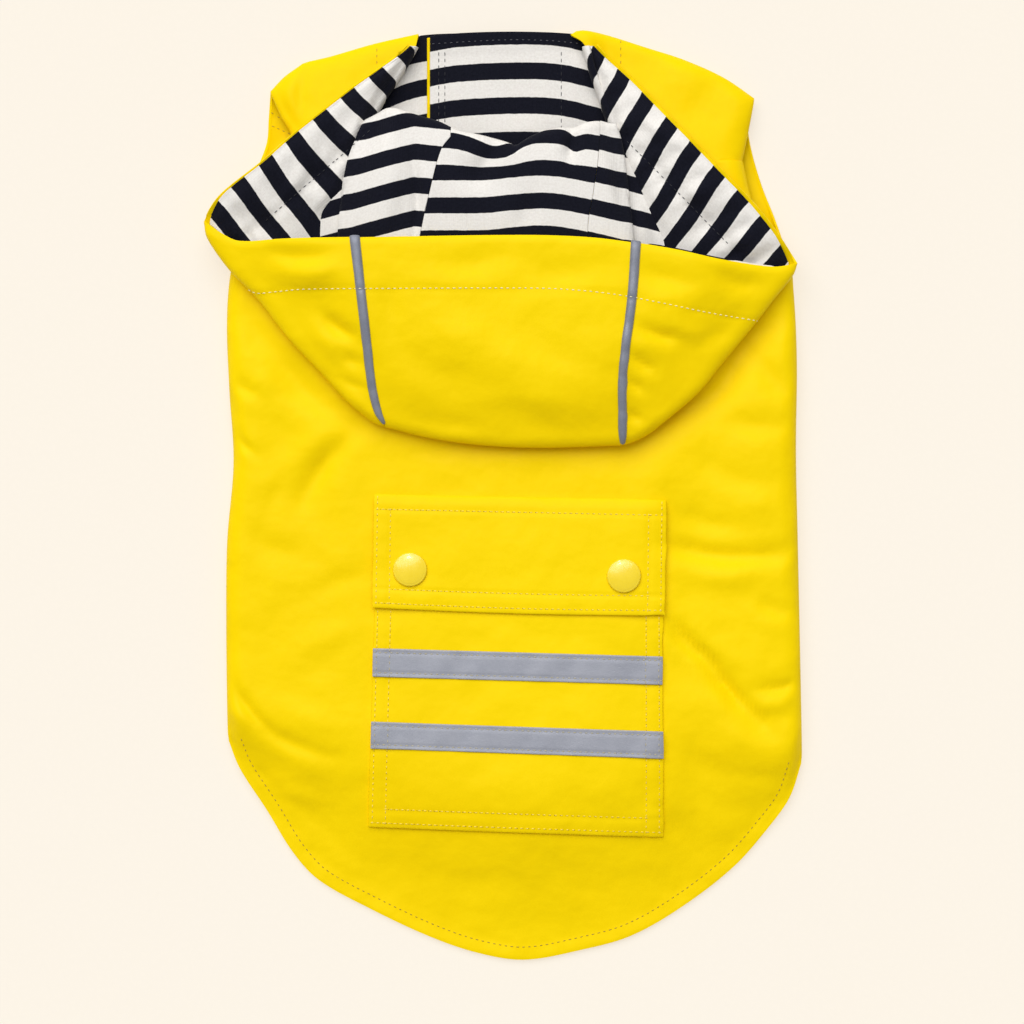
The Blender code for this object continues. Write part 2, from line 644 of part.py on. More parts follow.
def build_hood_linings():
    over = WALL / 2 + SEAM + LINING / 2 + 0.25
    start_y = 62.0
    roll_steps = ((0.0, 0.0), (3.2, -0.9), (4.6, -3.4), (3.4, -5.8))

    def lining_surface(side):
        return lambda x, y: hood_lower(x, y, side)

    def rolled(x, share_row, rows):
        """A point of the lower lining: flat rows up to the ridge, then round and down towards the neck seam."""
        top = ridge_y(x) - 5.0
        if share_row <= rows:
            y = mix(start_y, top, share_row / rows)
            return y, 0.0
        ahead, drop = roll_steps[share_row - rows]
        return top + ahead, drop

    def centre(f, t, i, j):
        x = mix(-40.0, 39.0, f)
        y, drop = rolled(x, j, 8)
        left = lower_seam_x(HOOD_SIDES[0], y) + SEAM / 2
        right = lower_seam_x(HOOD_SIDES[1], y) - SEAM / 2
        x = mix(left, right, f)
        spot = moved_out(lining_surface(0), x, min(y, ridge_y(x) - 5.0), over)
        return Vector((spot.x, y if drop else spot.y, spot.z + drop))

    cloth("hood_lining_centre", STRIPED, [n / 8 for n in range(9)], [0.0] * 12, centre, wall=LINING)

    for hood in HOOD_SIDES:
        build_side_lining(hood, over, start_y)


def build_side_lining(hood, over, start_y):
    """The lining of a side panel: the hood's floor beside the middle panel, then the cheek band."""
    out = hood.side
    levels = [y for y in hood_levels(hood) if y > start_y]
    ridge = max(n for n, y in enumerate(levels) if y <= SIDE_RIDGE_Y)
    band = [0, 0.041, 0.155, 0.433, 0.711, 1]
    valley_column = len(band) - 1
    columns = len(band) + len(INNER_SHARES)

    def place(f, t, i, j):
        y = levels[j]
        inset = LINING_EDGE if y > hood.corner_y else 9.0
        edge = (along(hood.opening, y) if y > hood.corner_y else along(hood.fold, y)) - out * inset
        valley = along(hood.valley, y)
        seam = lower_seam_x(hood, y) + out * SEAM / 2
        if i <= valley_column:
            x = mix(edge, valley, band[i])
        else:
            x = mix(valley, seam, INNER_SHARES[i - valley_column - 1])
        return moved_out(lambda a, b: hood_lower(a, b, out), x, y, over)

    def keep(i, j):
        return i < valley_column or j < ridge

    cloth(f"hood_lining_{hood.name}", STRIPED, [0.0] * columns, [0.0] * len(levels), place, wall=LINING, keep=keep)


def build_piping():
    """The reflective piping that covers the two seams of the hood's upper layer."""
    over = WALL / 2 + SEAM + TAPE / 2
    for name, table, ends in (("piping_left", PIPING_LEFT_X, (36.5, 112.5)), ("piping_right", PIPING_RIGHT_X, (26.5, 110.5))):

        def place(f, t, i, j, table=table, ends=ends):
            y = mix(ends[0], ends[1], t)
            x = along(table, y) + PIPING_WIDE * (f - 0.5) * mix(0.72, 1.0, ramp(t * 1.6))
            return moved_out(hood_upper, x, y, over)

        cloth(name, REFLECTIVE, [0, 0.5, 1], [0, 0.03, 0.08, 0.16, 0.28, 0.42, 0.58, 0.74, 0.88, 1], place, wall=TAPE)


def laid_on_back(name, finish, top, bottom, lift, counts, wall):
    """A piece sewn flat on the back, between a top and a bottom edge, lifted by lift(share down)."""
    columns, rows = counts
    body = back_body()

    def place(f, t, i, j):
        upper = Vector((mix(top.left_x, top.right_x, f), mix(top.left_y, top.right_y, f)))
        lower = Vector((mix(bottom.left_x, bottom.right_x, f), mix(bottom.left_y, bottom.right_y, f)))
        spot = lower.lerp(upper, t)
        return moved_out(lambda x, y: body_height(body, x, y), spot.x, spot.y, lift(1 - t))

    shares = [n / columns for n in range(columns + 1)]
    cloth(name, finish, shares, [n / rows for n in range(rows + 1)], place, wall=wall)


def build_pocket():
    on_back = WALL + SEAM
    on_pocket = 2 * (WALL + SEAM)
    laid_on_back("pocket", COATED, POCKET_TOP, POCKET_BOTTOM, lambda down: on_back, (10, 10), WALL)
    laid_on_back(
        "pocket_flap", COATED, FLAP_TOP, FLAP_BOTTOM,
        lambda down: on_back + (WALL + SEAM) * ramp(down / 0.17) + 0.5 * ramp((down - 0.6) / 0.4), (10, 8), WALL,
    )
    for name, (top, bottom) in TAPES.items():
        laid_on_back(name, REFLECTIVE, top, bottom, lambda down: on_pocket - (WALL - TAPE) / 2, (10, 2), TAPE)


def build_snap(name, centre):
    """A snap's domed cap, turned about its own axis, sitting on the flap."""
    profile = ((0, SNAP_HIGH), (4.2, 2.25), (6.2, 1.75), (7.2, 1.0), (SNAP_RADIUS, 0.3), (SNAP_RADIUS, 0), (0, 0))
    bm = bmesh.new()
    points = [bm.verts.new((r * MM, 0, z * MM)) for r, z in profile]
    for a, b in zip(points, points[1:]):
        bm.edges.new((a, b))
    mesh = bpy.data.meshes.new(name)
    bm.to_mesh(mesh)
    bm.free()
    cap = bpy.data.objects.new(name, mesh)
    mesh.materials.append(SNAP)
    turned = cap.modifiers.new("Turned", "SCREW")
    turned.axis = "Z"
    turned.steps = turned.render_steps = 24
    turned.use_merge_vertices = True
    turned.merge_threshold = 0.00001
    lift = 2 * (WALL + SEAM) + WALL / 2 + SEAM + 0.35
    cap.location = moved_out(back_height, *centre, lift) * MM
    COAT.objects.link(cap)


def centre_in_plan():
    """Puts the middle of the coat's box over the origin."""
    bpy.context.view_layer.update()
    graph = bpy.context.evaluated_depsgraph_get()
    corners = []
    for obj in COAT.objects:
        solid = obj.evaluated_get(graph)
        corners += [solid.matrix_world @ Vector(corner) for corner in solid.bound_box]
    middle_x = (min(c.x for c in corners) + max(c.x for c in corners)) / 2
    middle_y = (min(c.y for c in corners) + max(c.y for c in corners)) / 2
    for obj in COAT.objects:
        obj.location.x -= middle_x
        obj.location.y -= middle_y


clear_scene()
COAT = bpy.data.collections.new("dog_raincoat")
bpy.context.scene.collection.children.link(COAT)
COATED = material("coated_cloth", YELLOW, 0.42)
STRIPED = material("striped_jersey", WHITE, 0.9)
REFLECTIVE = material("reflective_tape", GREY, 0.45)
SNAP = material("snap_cap", YELLOW, 0.2)

build_back()
build_fronts()
build_neck_linings()
build_hood_centre()
for hood_side in HOOD_SIDES:
    build_hood_side(hood_side)
build_hood_linings()
build_piping()
build_pocket()
for snap_name, snap_centre in SNAPS.items():
    build_snap(snap_name, snap_centre)
centre_in_plan()
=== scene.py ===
"""A hooded dog raincoat laid flat, back up, with its hood thrown back and open towards the neck.

Lengths are in millimetres on the coat's own plan (+X across, +Y from tail to neck, +Z up). in_frame turns them
into metres in the frame. Heights are those of a cloth's middle surface. f is a share across, t or down one along.
"""

import math
from collections import namedtuple

import bmesh
import bpy
import numpy as np
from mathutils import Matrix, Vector


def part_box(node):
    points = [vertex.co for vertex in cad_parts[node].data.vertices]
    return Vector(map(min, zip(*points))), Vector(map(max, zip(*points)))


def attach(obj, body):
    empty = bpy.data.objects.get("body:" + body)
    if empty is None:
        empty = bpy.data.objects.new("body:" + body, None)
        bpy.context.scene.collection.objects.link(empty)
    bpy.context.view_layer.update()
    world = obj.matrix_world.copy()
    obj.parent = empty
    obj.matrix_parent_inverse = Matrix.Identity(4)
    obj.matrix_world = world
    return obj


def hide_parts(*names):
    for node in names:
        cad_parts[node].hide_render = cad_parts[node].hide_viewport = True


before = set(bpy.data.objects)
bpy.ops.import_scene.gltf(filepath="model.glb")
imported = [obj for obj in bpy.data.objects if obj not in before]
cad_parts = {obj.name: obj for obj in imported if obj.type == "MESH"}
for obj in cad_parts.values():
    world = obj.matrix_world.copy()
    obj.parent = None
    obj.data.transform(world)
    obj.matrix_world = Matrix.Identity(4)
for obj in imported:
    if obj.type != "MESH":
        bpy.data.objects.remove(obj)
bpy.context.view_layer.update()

# ---------------------------------------------------------------- sizes, as in the part

WALL, LINING, SEAM = 1.2, 1.0, 0.3
LINING_OVER = WALL / 2 + SEAM + LINING / 2 + 0.1
GROUND = WALL / 2
SEAM_ENDS, SHOULDER_ENDS = 0.7, 0.9
SIDE_SEAM_Z, SHOULDER_SEAM_Z, ARMHOLE_Z, FRONT_ARMHOLE_Z = 5.2, 4.2, 5.4, 1.6
HEM_Z, HEM_CORNER_Z, HEM_RISE, HEM_RISE_AT_CORNER = 1.1, 3.2, 78.0, 18.0
BACK_Z, BACK_CROWN, SHOULDER_Z, HOOD_TOP_Z = 11.0, 2.5, 7.4, 29.5
MID_X, HALF_WIDTH = 4.5, 126.0
SHOULDER_FROM, SHOULDER_RUN = 138.0, 60.0
SIDE_ROLL, FRONT_ROLL, SHOULDER_ROLL = 11.0, 9.0, 8.0
OVERLAP_LEFT, OVERLAP_RIGHT, OVERLAP_FULL, OVERLAP_CLEAR = -33.8, 25.0, 32.0, 56.0
LIP, LIP_REACH, HOOD_RISE_RUN, FOLD_SLANT = 3.5, 5.0, 34.0, 0.72
BULGE, RIDGE_Y, CHEEK_FROM_Y, THROAT_Y = 6.0, 150.0, 158.0, 199.0  # from CHEEK_FROM_Y up, a side is its cheek alone

# ---------------------------------------------------------------- sizes of the finished cloth

HEM_WIDE, HEM_STITCH_OUT = 6.5, 0.9  # the tail's hem, and how far outside its inner edge the stitches run
CHEEK_HEM = 21.0  # from a cheek's opening edge to its stitches
CHEEK_ROLL, SIDE_TUCK = 4.6, 7.5  # reaches of the roll beside a valley, and of the back's side
FULLNESS = 5.6  # how far the hood's lined floor stands up
NECK_TIP = 2.6  # how far the right shoulder's tip stands over the neck
STRIPE_PITCH, RIB_PITCH, LOOP_PITCH = 15.3, 0.00095, 0.0007  # stripes in millimetres, the jersey's knit in metres
EDGE_ROUND, EDGE_ANGLE = 0.32, 62  # rounding of a cut edge as a share of its wall, and from what angle
MESH_STEP = 2.0
FOLD_STEPS = (0.0, 0.06, 0.22, 0.5, 0.95, 1.6, 2.5, 3.6, 5.0)  # distances from the crown fold of its rows
VIEW_HEIGHT, VIEW_ACROSS = 0.014, 0.4506  # metres: the height that the camera frames, and how wide it frames it

# ---------------------------------------------------------------- outlines, as in the part but finer at the shoulders

HEM_OUTLINE = (
    (-121.3, -108), (-116.4, -120.3), (-104.5, -138.8), (-93.1, -157.3), (-81.6, -169.6), (-59.6, -181.9),
    (-33.2, -194.3), (-12, -201.6), (9, -204.8), (34.5, -200.4), (56.1, -194.3), (78.1, -181.9),
    (101.9, -163.5), (118.1, -145), (126.5, -132.7), (131.4, -118),
)
LEFT_SIDE = ((-121.3, -108), (-121.9, -60), (-121.5, -20), (-118.7, 15), (-120.6, 48), (-121.6, 78), (-119.6, 101))
RIGHT_SIDE = ((131.4, -118), (130.3, -62), (129.3, -15), (128.6, 20), (129, 60), (127.6, 90), (125.5, 104))
LEFT_ARMHOLE_BACK = ((-97.5, 148), (-92.9, 158), (-97.9, 168), (-102.6, 178.6))
RIGHT_ARMHOLE_BACK = ((105, 148), (107.4, 160), (109.3, 170), (110.3, 175.6))
LEFT_ARMHOLE_FRONT = ((-115.5, 121), (-109.5, 142), (-104.3, 156), (-103.4, 167), (-103.0, 178.2))
RIGHT_ARMHOLE_FRONT = ((119.5, 123), (113.7, 138.4), (109.3, 154), (108, 165), (109.8, 175))
LEFT_SHOULDER = (
    (-102.6, 178.6), (-96.6, 184.9), (-90.6, 189.3), (-87.6, 191.3), (-84.4, 192.0), (-76, 194.0), (-57, 199.5),
    (-37.5, 203.9),
)
RIGHT_SHOULDER = (
    (29.8, 203.4), (33.2, 205.2), (40, 204.6), (48, 202.6), (62, 198.1), (79.4, 192.5), (97, 184.6), (110.3, 175.6),
)
LEFT_NECK = ((-62, 148), (-61.6, 158), (-55, 173), (-47, 186), (-39.4, 197), (-37.5, 203.9))
RIGHT_NECK = ((55, 148), (50.3, 160), (45.5, 172), (41, 183), (38, 194), (35.2, 199.8), (29.8, 203.4))
REAR_EDGE_LEFT = ((-121.5, -98), (-96, -84), (-60, -61), (-20, -48), (25, -45))
REAR_EDGE_RIGHT = ((-33.8, -50), (10, -46), (55, -55), (100, -84), (131.1, -108))
HOOD_LEFT_FOLD = (
    (18, -49), (26, -53.5), (32.3, -57), (40, -66.2), (54.3, -79.7), (69.6, -94), (88.4, -108.9),
    (99.2, -119.6), (113.7, -129.9), (120.8, -131.6),
)
HOOD_RIGHT_FOLD = (
    (10, 50), (20, 55), (28.8, 65.2), (45.3, 84.7), (57, 94.4), (76.8, 110.7), (88.4, 119.7), (97.5, 126.9),
    (102.5, 128.7),
)
HOOD_CROWN = ((-52.3, 31), (-34.8, 26.6), (-14.7, 23.5), (7.3, 22), (24.9, 22), (50.4, 22.9))
PIPING_LEFT_X = ((32.3, -52.3), (37.3, -55), (49.9, -57.7), (67.8, -59.7), (90.9, -62.5), (113.5, -65.1))
PIPING_RIGHT_X = ((23.3, 52.3), (49.9, 52), (64.2, 53.2), (87.1, 56.2), (111, 57.9))
BRIM_Y = (
    (-131.6, 119), (-124, 114.6), (-116.5, 111.8), (-97.6, 112.7), (-67.1, 113.2), (7.3, 114.3), (36.2, 113.4),
    (55.9, 111.1), (75.7, 107.8), (95.4, 103.6), (120, 100.3), (128.7, 101.4),
)
OPENING_LEFT_X = (
    (120.8, -131.6), (125, -130.2), (133.3, -123.8), (146.7, -106.7), (158, -94), (166.8, -83.2), (179.6, -67.1),
    (188.1, -55.4), (196.2, -44.6), (203, -38.6),
)
OPENING_RIGHT_X = (
    (102.5, 128.7), (108, 125.6), (116.5, 120), (128.6, 110.2), (139.8, 99.4), (151, 88.6), (162.2, 77.9),
    (173, 67.5), (183.7, 57.2), (193.6, 46.4), (203, 37.6),
)
VALLEY_LEFT_X = (
    (30, -48), (60, -60), (90, -68), (115, -70.8), (145, -67.4), (160.4, -61.8), (173.8, -55.2), (185.5, -47.5),
    (203, -37.6),
)
VALLEY_RIGHT_X = (
    (20, 44), (60, 62), (95, 70), (111, 70.4), (124.3, 64.7), (140.6, 58), (156, 51.5), (170, 46.2), (193.4, 38.4),
    (203, 36.6),
)
LOWER_SEAM_LEFT = ((30, -52.4), (166, -26))
LOWER_SEAM_RIGHT = ((22, 52.2), (166, 40))
LINING_SEAM_LEFT = (
    (40, -49), (62, -46.5), (100, -39), (115.5, -36.3), (132.4, -32.6), (152.2, -27.2), (159.5, -21.8), (172, -16),
)
LINING_SEAM_RIGHT = (
    (40, 50), (62, 48), (95, 41), (115.8, 37), (135.1, 39.7), (147.7, 41.5), (164.3, 42.4), (172, 42.6),
)
# Where the floor's fullness starts: at the valley on the left, inside it on the right
FULL_LEFT_X = VALLEY_LEFT_X
FULL_RIGHT_X = (
    (60, 56), (95, 57), (111, 56.4), (124, 55), (140, 53.2), (150, 52), (158, 50.4), (166, 47.4), (180, 42.8),
    (203, 36.6),
)
RIDGE_LIFT = (
    (-75, 2), (-60, 14.5), (-54, 19.5), (-49, 20), (-44, 18.6), (-38.9, 17), (-29.4, 14), (-22, 10.3), (-14.7, 8.7),
    (-7.4, 7.2), (-0.8, 5.4), (3.2, 4.0), (5.0, 3.4), (7.3, 4.9), (11.7, 7.6), (16.8, 9.9), (22, 10.9), (28, 11.5),
    (31.5, 11.6), (34, 13), (38.8, 14.2), (42.5, 14.6), (46, 13.7), (50, 13.4), (56, 8), (64, 2),
)

HOOD_STITCH_Y = (
    (-119, 98.5), (-114, 92.5), (-109, 89.4), (-100, 89.8), (-88.7, 90.7), (-60.9, 90.9), (7.3, 91.1), (25.3, 90.7),
    (48.6, 88.4), (70.2, 84.4), (88.2, 80.8), (112, 77.0),
)
# The lining's turn over the ridge, as distances ahead and down
RIDGE_ROLL = (
    (0.0, 0.0), (0.9, -0.1), (1.8, -0.4), (2.6, -0.9), (3.3, -1.6), (3.8, -2.6), (4.1, -4.0), (3.9, -5.6),
    (3.2, -7.4), (2.2, -9.4), (0.8, -12.0),
)
# A cheek's turn into its valley, as distances ahead and down, and the cloth that each step takes up
CHEEK_TUCK = (
    (0.7, -0.3, 0.8), (1.4, -1.0, 0.9), (1.9, -2.2, 1.3), (2.2, -3.8, 1.7), (2.3, -5.6, 1.8), (2.1, -7.6, 2.0),
    (1.6, -9.6, 2.0),
)

# A straight edge of a sewn-on piece, and such a piece: bow is how far its lower edge hangs down in the middle
Quad = namedtuple("Quad", "left_x right_x left_y right_y")
Sewn = namedtuple("Sewn", "top bottom wide long bow")
FLAP = Sewn(Quad(-56.8, 71.2, 0.8, -1.8), Quad(-57.6, 70.6, -48.6, -52.1), 128.0, 50.0, 0.9)
POCKET = Sewn(Quad(-55.6, 69.8, -9.0, -11.4), Quad(-59.5, 70.2, -145.5, -150.0), 129.0, 138.0, 0.0)
TAPES = {
    "tape_upper": Sewn(Quad(-57.4, 69.9, -66.7, -70.4), Quad(-57.6, 69.8, -79.2, -82.8), 128.0, 12.4, 0.0),
    "tape_lower": Sewn(Quad(-58.2, 70.0, -99.0, -103.4), Quad(-58.4, 70.0, -110.7, -115.3), 128.0, 12.4, 0.0),
}
SEWN_IN = (1.5, 7.3)  # the twin lines of stitches, in from a side
POCKET_HEM, FLAP_HEM, FLAP_TOP_LINE = (1.8, 8.1), (2.0, 8.3), 6.4  # and up from a lower edge, or down from the top
SNAPS = {"snap_left": (-41.1, -32.1), "snap_right": (52.9, -34.8)}

# Piping runs on a line of x by y, and widths is its width by y
Piping = namedtuple("Piping", "line low high widths")
PIPINGS = {
    "piping_left": Piping(PIPING_LEFT_X, 32.6, 113.4, ((32, 2.3), (40, 3.1), (60, 3.4), (90, 3.6), (113, 4.1))),
    "piping_right": Piping(PIPING_RIGHT_X, 23.9, 111.2, ((23, 3.3), (60, 3.4), (111, 3.9))),
}

# A side of the hood. edge_at and edge_turn give its opening edge as a straight line, and skew the slope of its
# stripes by how far they are along that line. first_y and crown_y are where the side begins, corner_y where it opens.
# rim is how far its lining stays in from the edge, under how far the floor runs out below the cheek, over how far the
# floor's full edge hangs out, and pitch that of the cheek's stripes
HoodSide = namedtuple(
    "HoodSide",
    "name side fold piping opening valley seam lining_seam full corner_y first_y crown_y edge_at edge_turn skew "
    "rim under over pitch",
)
HOOD_LEFT = HoodSide(
    "left", -1, HOOD_LEFT_FOLD, PIPING_LEFT_X, OPENING_LEFT_X, VALLEY_LEFT_X, LOWER_SEAM_LEFT, LINING_SEAM_LEFT,
    FULL_LEFT_X, 120.8, 37.0, 31.3, (-93.4, 158.5), 40.75,
    ((-40, -0.02), (-15, -0.1), (0, -0.03), (20, 0.06), (45, 0.03)), 1.5, 9.5, 3.0, 15.49,
)
HOOD_RIGHT = HoodSide(
    "right", 1, HOOD_RIGHT_FOLD, PIPING_RIGHT_X, OPENING_RIGHT_X, VALLEY_RIGHT_X, LOWER_SEAM_RIGHT, LINING_SEAM_RIGHT,
    FULL_RIGHT_X, 102.5, 29.5, 23.2, (85.1, 154.7), -45.6,
    ((-60, 0.34), (-17, 0.28), (14, 0.21), (47, 0.06)), 2.2, 0.0, 2.0, 15.05,
)

# ---------------------------------------------------------------- folds and creases

Fold = namedtuple("Fold", "x y turn long wide high")
BACK_FOLDS = (
    Fold(104, -18, -4, 26, 13, -1.2),
    Fold(94, -78, -42, 24, 12, -1.5),
    Fold(98, -148, -46, 22, 11, -1.3),
    Fold(-88, 8, 48, 26, 13, -1.2),
    Fold(-101, -119, -38, 24, 12, -1.2),
    Fold(-88, -52, 8, 24, 13, 0.9),
    Fold(30, -176, 12, 30, 11, -0.9),
)

# A crease runs from one point to another; high is its depth (below zero) or height, wide its half width
Crease = namedtuple("Crease", "x0 y0 x1 y1 wide high")
CREASE_TIMES = {"back": 2.9, "waves": 1.25, "hood": 2.9, "cheek": 2.6, "shoulder": 1.9}  # how much each table counts


def creases(*rows):
    """A table of creases, each row x0, y0, x1, y1, wide and high."""
    return [Crease(*row) for row in rows]


BACK_CREASES = creases(
    (70, -21, 126, -25, 4.2, -0.85), (76, -32, 112, -34, 5.0, 0.2), (80, -8, 104, -14, 4.0, -0.35),
    (71, -52, 92, -73, 3.0, -0.85), (88, -70, 114, -98, 3.0, -0.95), (80, -54, 106, -76, 5.0, 0.45),
    (96, -86, 122, -108, 4.4, -0.6), (112, -84, 130.5, -82.5, 2.2, -0.6), (110, -92, 128, -90, 3.0, 0.4),
    (69, -137, 96, -163, 2.8, -0.85), (72, -149, 84, -168, 3.2, -0.55), (82, -134, 106, -152, 5.0, 0.45),
    (-66, 27, -87, 0, 4.2, -0.7), (-78, 30, -99, 3, 5.0, 0.35), (-92, 14, -104, -8, 4.0, -0.25),
    (-119, 30, -110.5, 19, 2.4, -0.6), (-119, 52, -108, 44, 3.4, -0.45), (-59, -34, -84, -44, 4.4, -0.3),
    (-84, -44, -106, -60, 5.4, -0.22), (-64, -58, -92, -70, 5.0, 0.35), (-119.5, -82, -105, -101, 3.0, -0.7),
    (-108, -100, -74, -115, 3.6, -0.6), (-100, -90, -72, -102, 5.0, 0.25), (-113, -116, -86, -140, 3.4, -0.55),
    (-86, -138, -64, -160, 4.0, -0.6), (-100, -128, -80, -134, 3.0, 0.35), (-78, -164, -52, -174, 3.4, -0.45),
    (14, -160, 46, -176, 5.0, -0.45), (-36, -164, 4, -172, 5.0, -0.3), (44, -166, 66, -158, 5.0, 0.3),
    (96, 34, 126, 32, 4.4, -0.4), (86, 16, 122, 4, 5.0, -0.35), (112, 62, 126, 44, 5.0, -0.5),
    (112, -46, 127, -52, 3.2, -0.4), (-112, -18, -88, -26, 5.0, -0.35), (76, -112, 110, -124, 5.0, -0.35),
    (104, -122, 124, -124, 3.4, -0.35), (-112, -125, -104, -122, 2.2, -0.35),
)

# Long soft waves of the back, beside the pocket and under the hood's edge
BACK_WAVES = creases(
    (121, 82, 92, 44, 8, -3.4), (98, 50, 62, 25, 8, -3.0), (60, 22, -40, 19, 7, -1.4), (-112, 78, -62, 28, 6, -1.6),
    (92, 28, 86, -50, 12, -1.2), (112, -30, 108, 30, 12, 0.9), (-84, -60, -96, 30, 12, -0.9),
    (76, -96, 100, -140, 12, -1.0), (-78, -90, -72, -140, 11, 0.8), (-30, -166, 40, -170, 9, -0.7),
    (-104, 56, -112, 16, 8, 0.9), (104, -96, 116, -60, 9, 0.7),
)

HOOD_CREASES = creases(
    (-104, 108, -74, 105, 4.2, -0.7), (-92, 98, -72, 102, 5.0, 0.45), (-79, 80, -64, 69, 3.6, -0.85),
    (-84, 70, -70, 60, 5.0, 0.5), (-70, 62, -62, 58, 3.0, -0.5), (-76, 53, -60, 47, 2.2, -0.7),
    (-71, 47, -59.5, 43, 1.8, -0.65), (-66, 41, -58, 39, 1.6, -0.5), (58, 75, 77, 69, 3.2, -0.85),
    (70, 82, 88, 68, 5.0, 0.3), (56, 62, 66, 55, 2.4, -0.6), (54.6, 52, 61, 46, 2.0, -0.5),
    (54.3, 37, 61, 33, 2.2, -0.6), (84, 66, 104, 76, 5.0, -0.35), (92, 98, 112, 92, 4.4, -0.55),
    (62, 98, 84, 94, 4.4, -0.5), (-42, 62, -6, 48, 7.0, -0.45), (-30, 78, 0, 64, 8.0, 0.35),
    (10, 70, 42, 56, 8.0, -0.45), (4, 46, 40, 38, 7.0, 0.4), (-42, 34, -10, 30, 4.4, -0.4),
    (-36, 102, 4, 106, 5.0, -0.35), (14, 98, 44, 100, 6.0, -0.4), (-50, 92, -46, 66, 6.0, -0.4),
)

# Soft waves of the cheeks and of the hood's floor, in the striped lining
CHEEK_CREASES = creases(
    (-112, 128, -93, 143, 4.5, -0.7), (-98, 130, -84, 152, 5.0, 0.6), (-86, 136, -74, 158, 4.6, -0.7),
    (-72, 152, -62, 168, 3.6, 0.6), (-58, 168, -50, 180, 3.2, -0.6), (60, 168, 54, 178, 2.6, -0.9),
    (70, 158, 60, 166, 2.8, 0.8), (80, 146, 68, 150, 3.4, -0.9), (92, 134, 74, 132, 4.0, 0.8),
    (100, 122, 82, 118, 4.4, -0.9), (112, 114, 94, 108, 4.6, 0.8), (-39.5, 112, -40.5, 150, 2.2, -0.8),
    (-52, 118, -50, 158, 5.0, 0.7), (30.6, 160, 29.5, 148, 2.6, -1.4), (12, 132, 10, 114, 5.0, -0.6),
    (50, 146, 56, 118, 3.0, -0.7), (60, 128, 64, 112, 2.6, 0.6), (-22, 146, -4, 138, 5.5, -0.7),
    (-2, 154, -10, 141, 4.0, -0.9),
)

SHOULDER_CREASES = creases(
    (-102, 181, -88, 158, 2.6, -0.9), (-87.6, 190, -88.5, 166, 2.4, -0.6), (-56, 198, -56, 190, 1.2, -0.3),
    (52, 200, 52, 191, 1.2, -0.3), (96, 184, 84, 166, 7.0, -0.4), (72, 192, 88, 176, 8.0, 0.35),
)

NECK_CREASES = creases(
    (-30, 190, -27, 168, 1.6, -0.35), (25.5, 197, 25.5, 160, 1.4, -0.3), (-20, 160, 20, 164, 6.0, 0.6),
    (-50, 172, -36, 176, 3.0, -0.5), (-10, 184, 16, 176, 7.0, -0.3),
)


# ---------------------------------------------------------------- arithmetic on arrays


def clamp(share):
    return np.clip(share, 0.0, 1.0)


def ramp(share):
    """Rises smoothly from 0 to 1."""
    share = clamp(share)
    return share * share * (3 - 2 * share)


def roll(share):
    """A quarter circle's height: steep at 0, level at 1."""
    return np.sqrt(1 - (1 - clamp(share)) ** 2)


def mix(a, b, share):
    return a + (b - a) * share


def bell(distance, wide):
    """1 at no distance, and fading to either side over about twice its width."""
    return np.exp(-((distance / wide) ** 2))


def hermite(knots, values, at):
    """A smooth curve through rows of values at rising knots, held past its ends."""
    knots, values = np.asarray(knots, float), np.asarray(values, float)
    slopes = np.empty_like(values)
    slopes[1:-1] = (values[2:] - values[:-2]) / (knots[2:] - knots[:-2])[:, None]
    slopes[0] = (values[1] - values[0]) / (knots[1] - knots[0])
    slopes[-1] = (values[-1] - values[-2]) / (knots[-1] - knots[-2])
    at = np.clip(np.asarray(at, float), knots[0], knots[-1])
    k = np.clip(np.searchsorted(knots, at, side="right") - 1, 0, len(knots) - 2)
    span = (knots[k + 1] - knots[k])[..., None]
    s = (at - knots[k])[..., None] / span
    return (
        values[k] * (1 + 2 * s) * (1 - s) ** 2
        + slopes[k] * span * s * (1 - s) ** 2
        + values[k + 1] * s * s * (3 - 2 * s)
        - slopes[k + 1] * span * s * s * (1 - s)
    )


def along(rows, at):
    """The value of a table of (position, value) rows at each position."""
    table = np.array(rows, float)
    return hermite(table[:, 0], table[:, 1:], at)[..., 0]


def path(*points):
    """A smooth curve through points, as a function of the share of its length."""
    points = np.array(points, float)
    knots = np.concatenate([[0], np.cumsum(np.linalg.norm(np.diff(points, axis=0), axis=1))])
    return lambda share: hermite(knots, points, np.asarray(share, float) * knots[-1])


def coons(south, north, west, east):
    """The patch that fills four outlines, as a function of shares across and along."""

    def at(f, t):
        f, t = np.broadcast_arrays(np.asarray(f, float), np.asarray(t, float))
        wide, long = f[..., None], t[..., None]
        across = mix(south(f), north(f), long)
        lengthways = mix(west(t), east(t), wide)
        corners = mix(mix(south(0.0), south(1.0), wide), mix(north(0.0), north(1.0), wide), long)
        return across + lengthways - corners

    return at


def folds(x, y, table):
    """The soft troughs and ridges of a table of folds, added up."""
    height = np.zeros(np.broadcast(x, y).shape)
    for fold in table:
        turn = math.radians(fold.turn)
        dx, dy = x - fold.x, y - fold.y
        down = (dx * math.cos(turn) + dy * math.sin(turn)) / fold.long
        side = (dy * math.cos(turn) - dx * math.sin(turn)) / fold.wide
        height = height + fold.high * np.exp(-down * down - side * side)
    return height


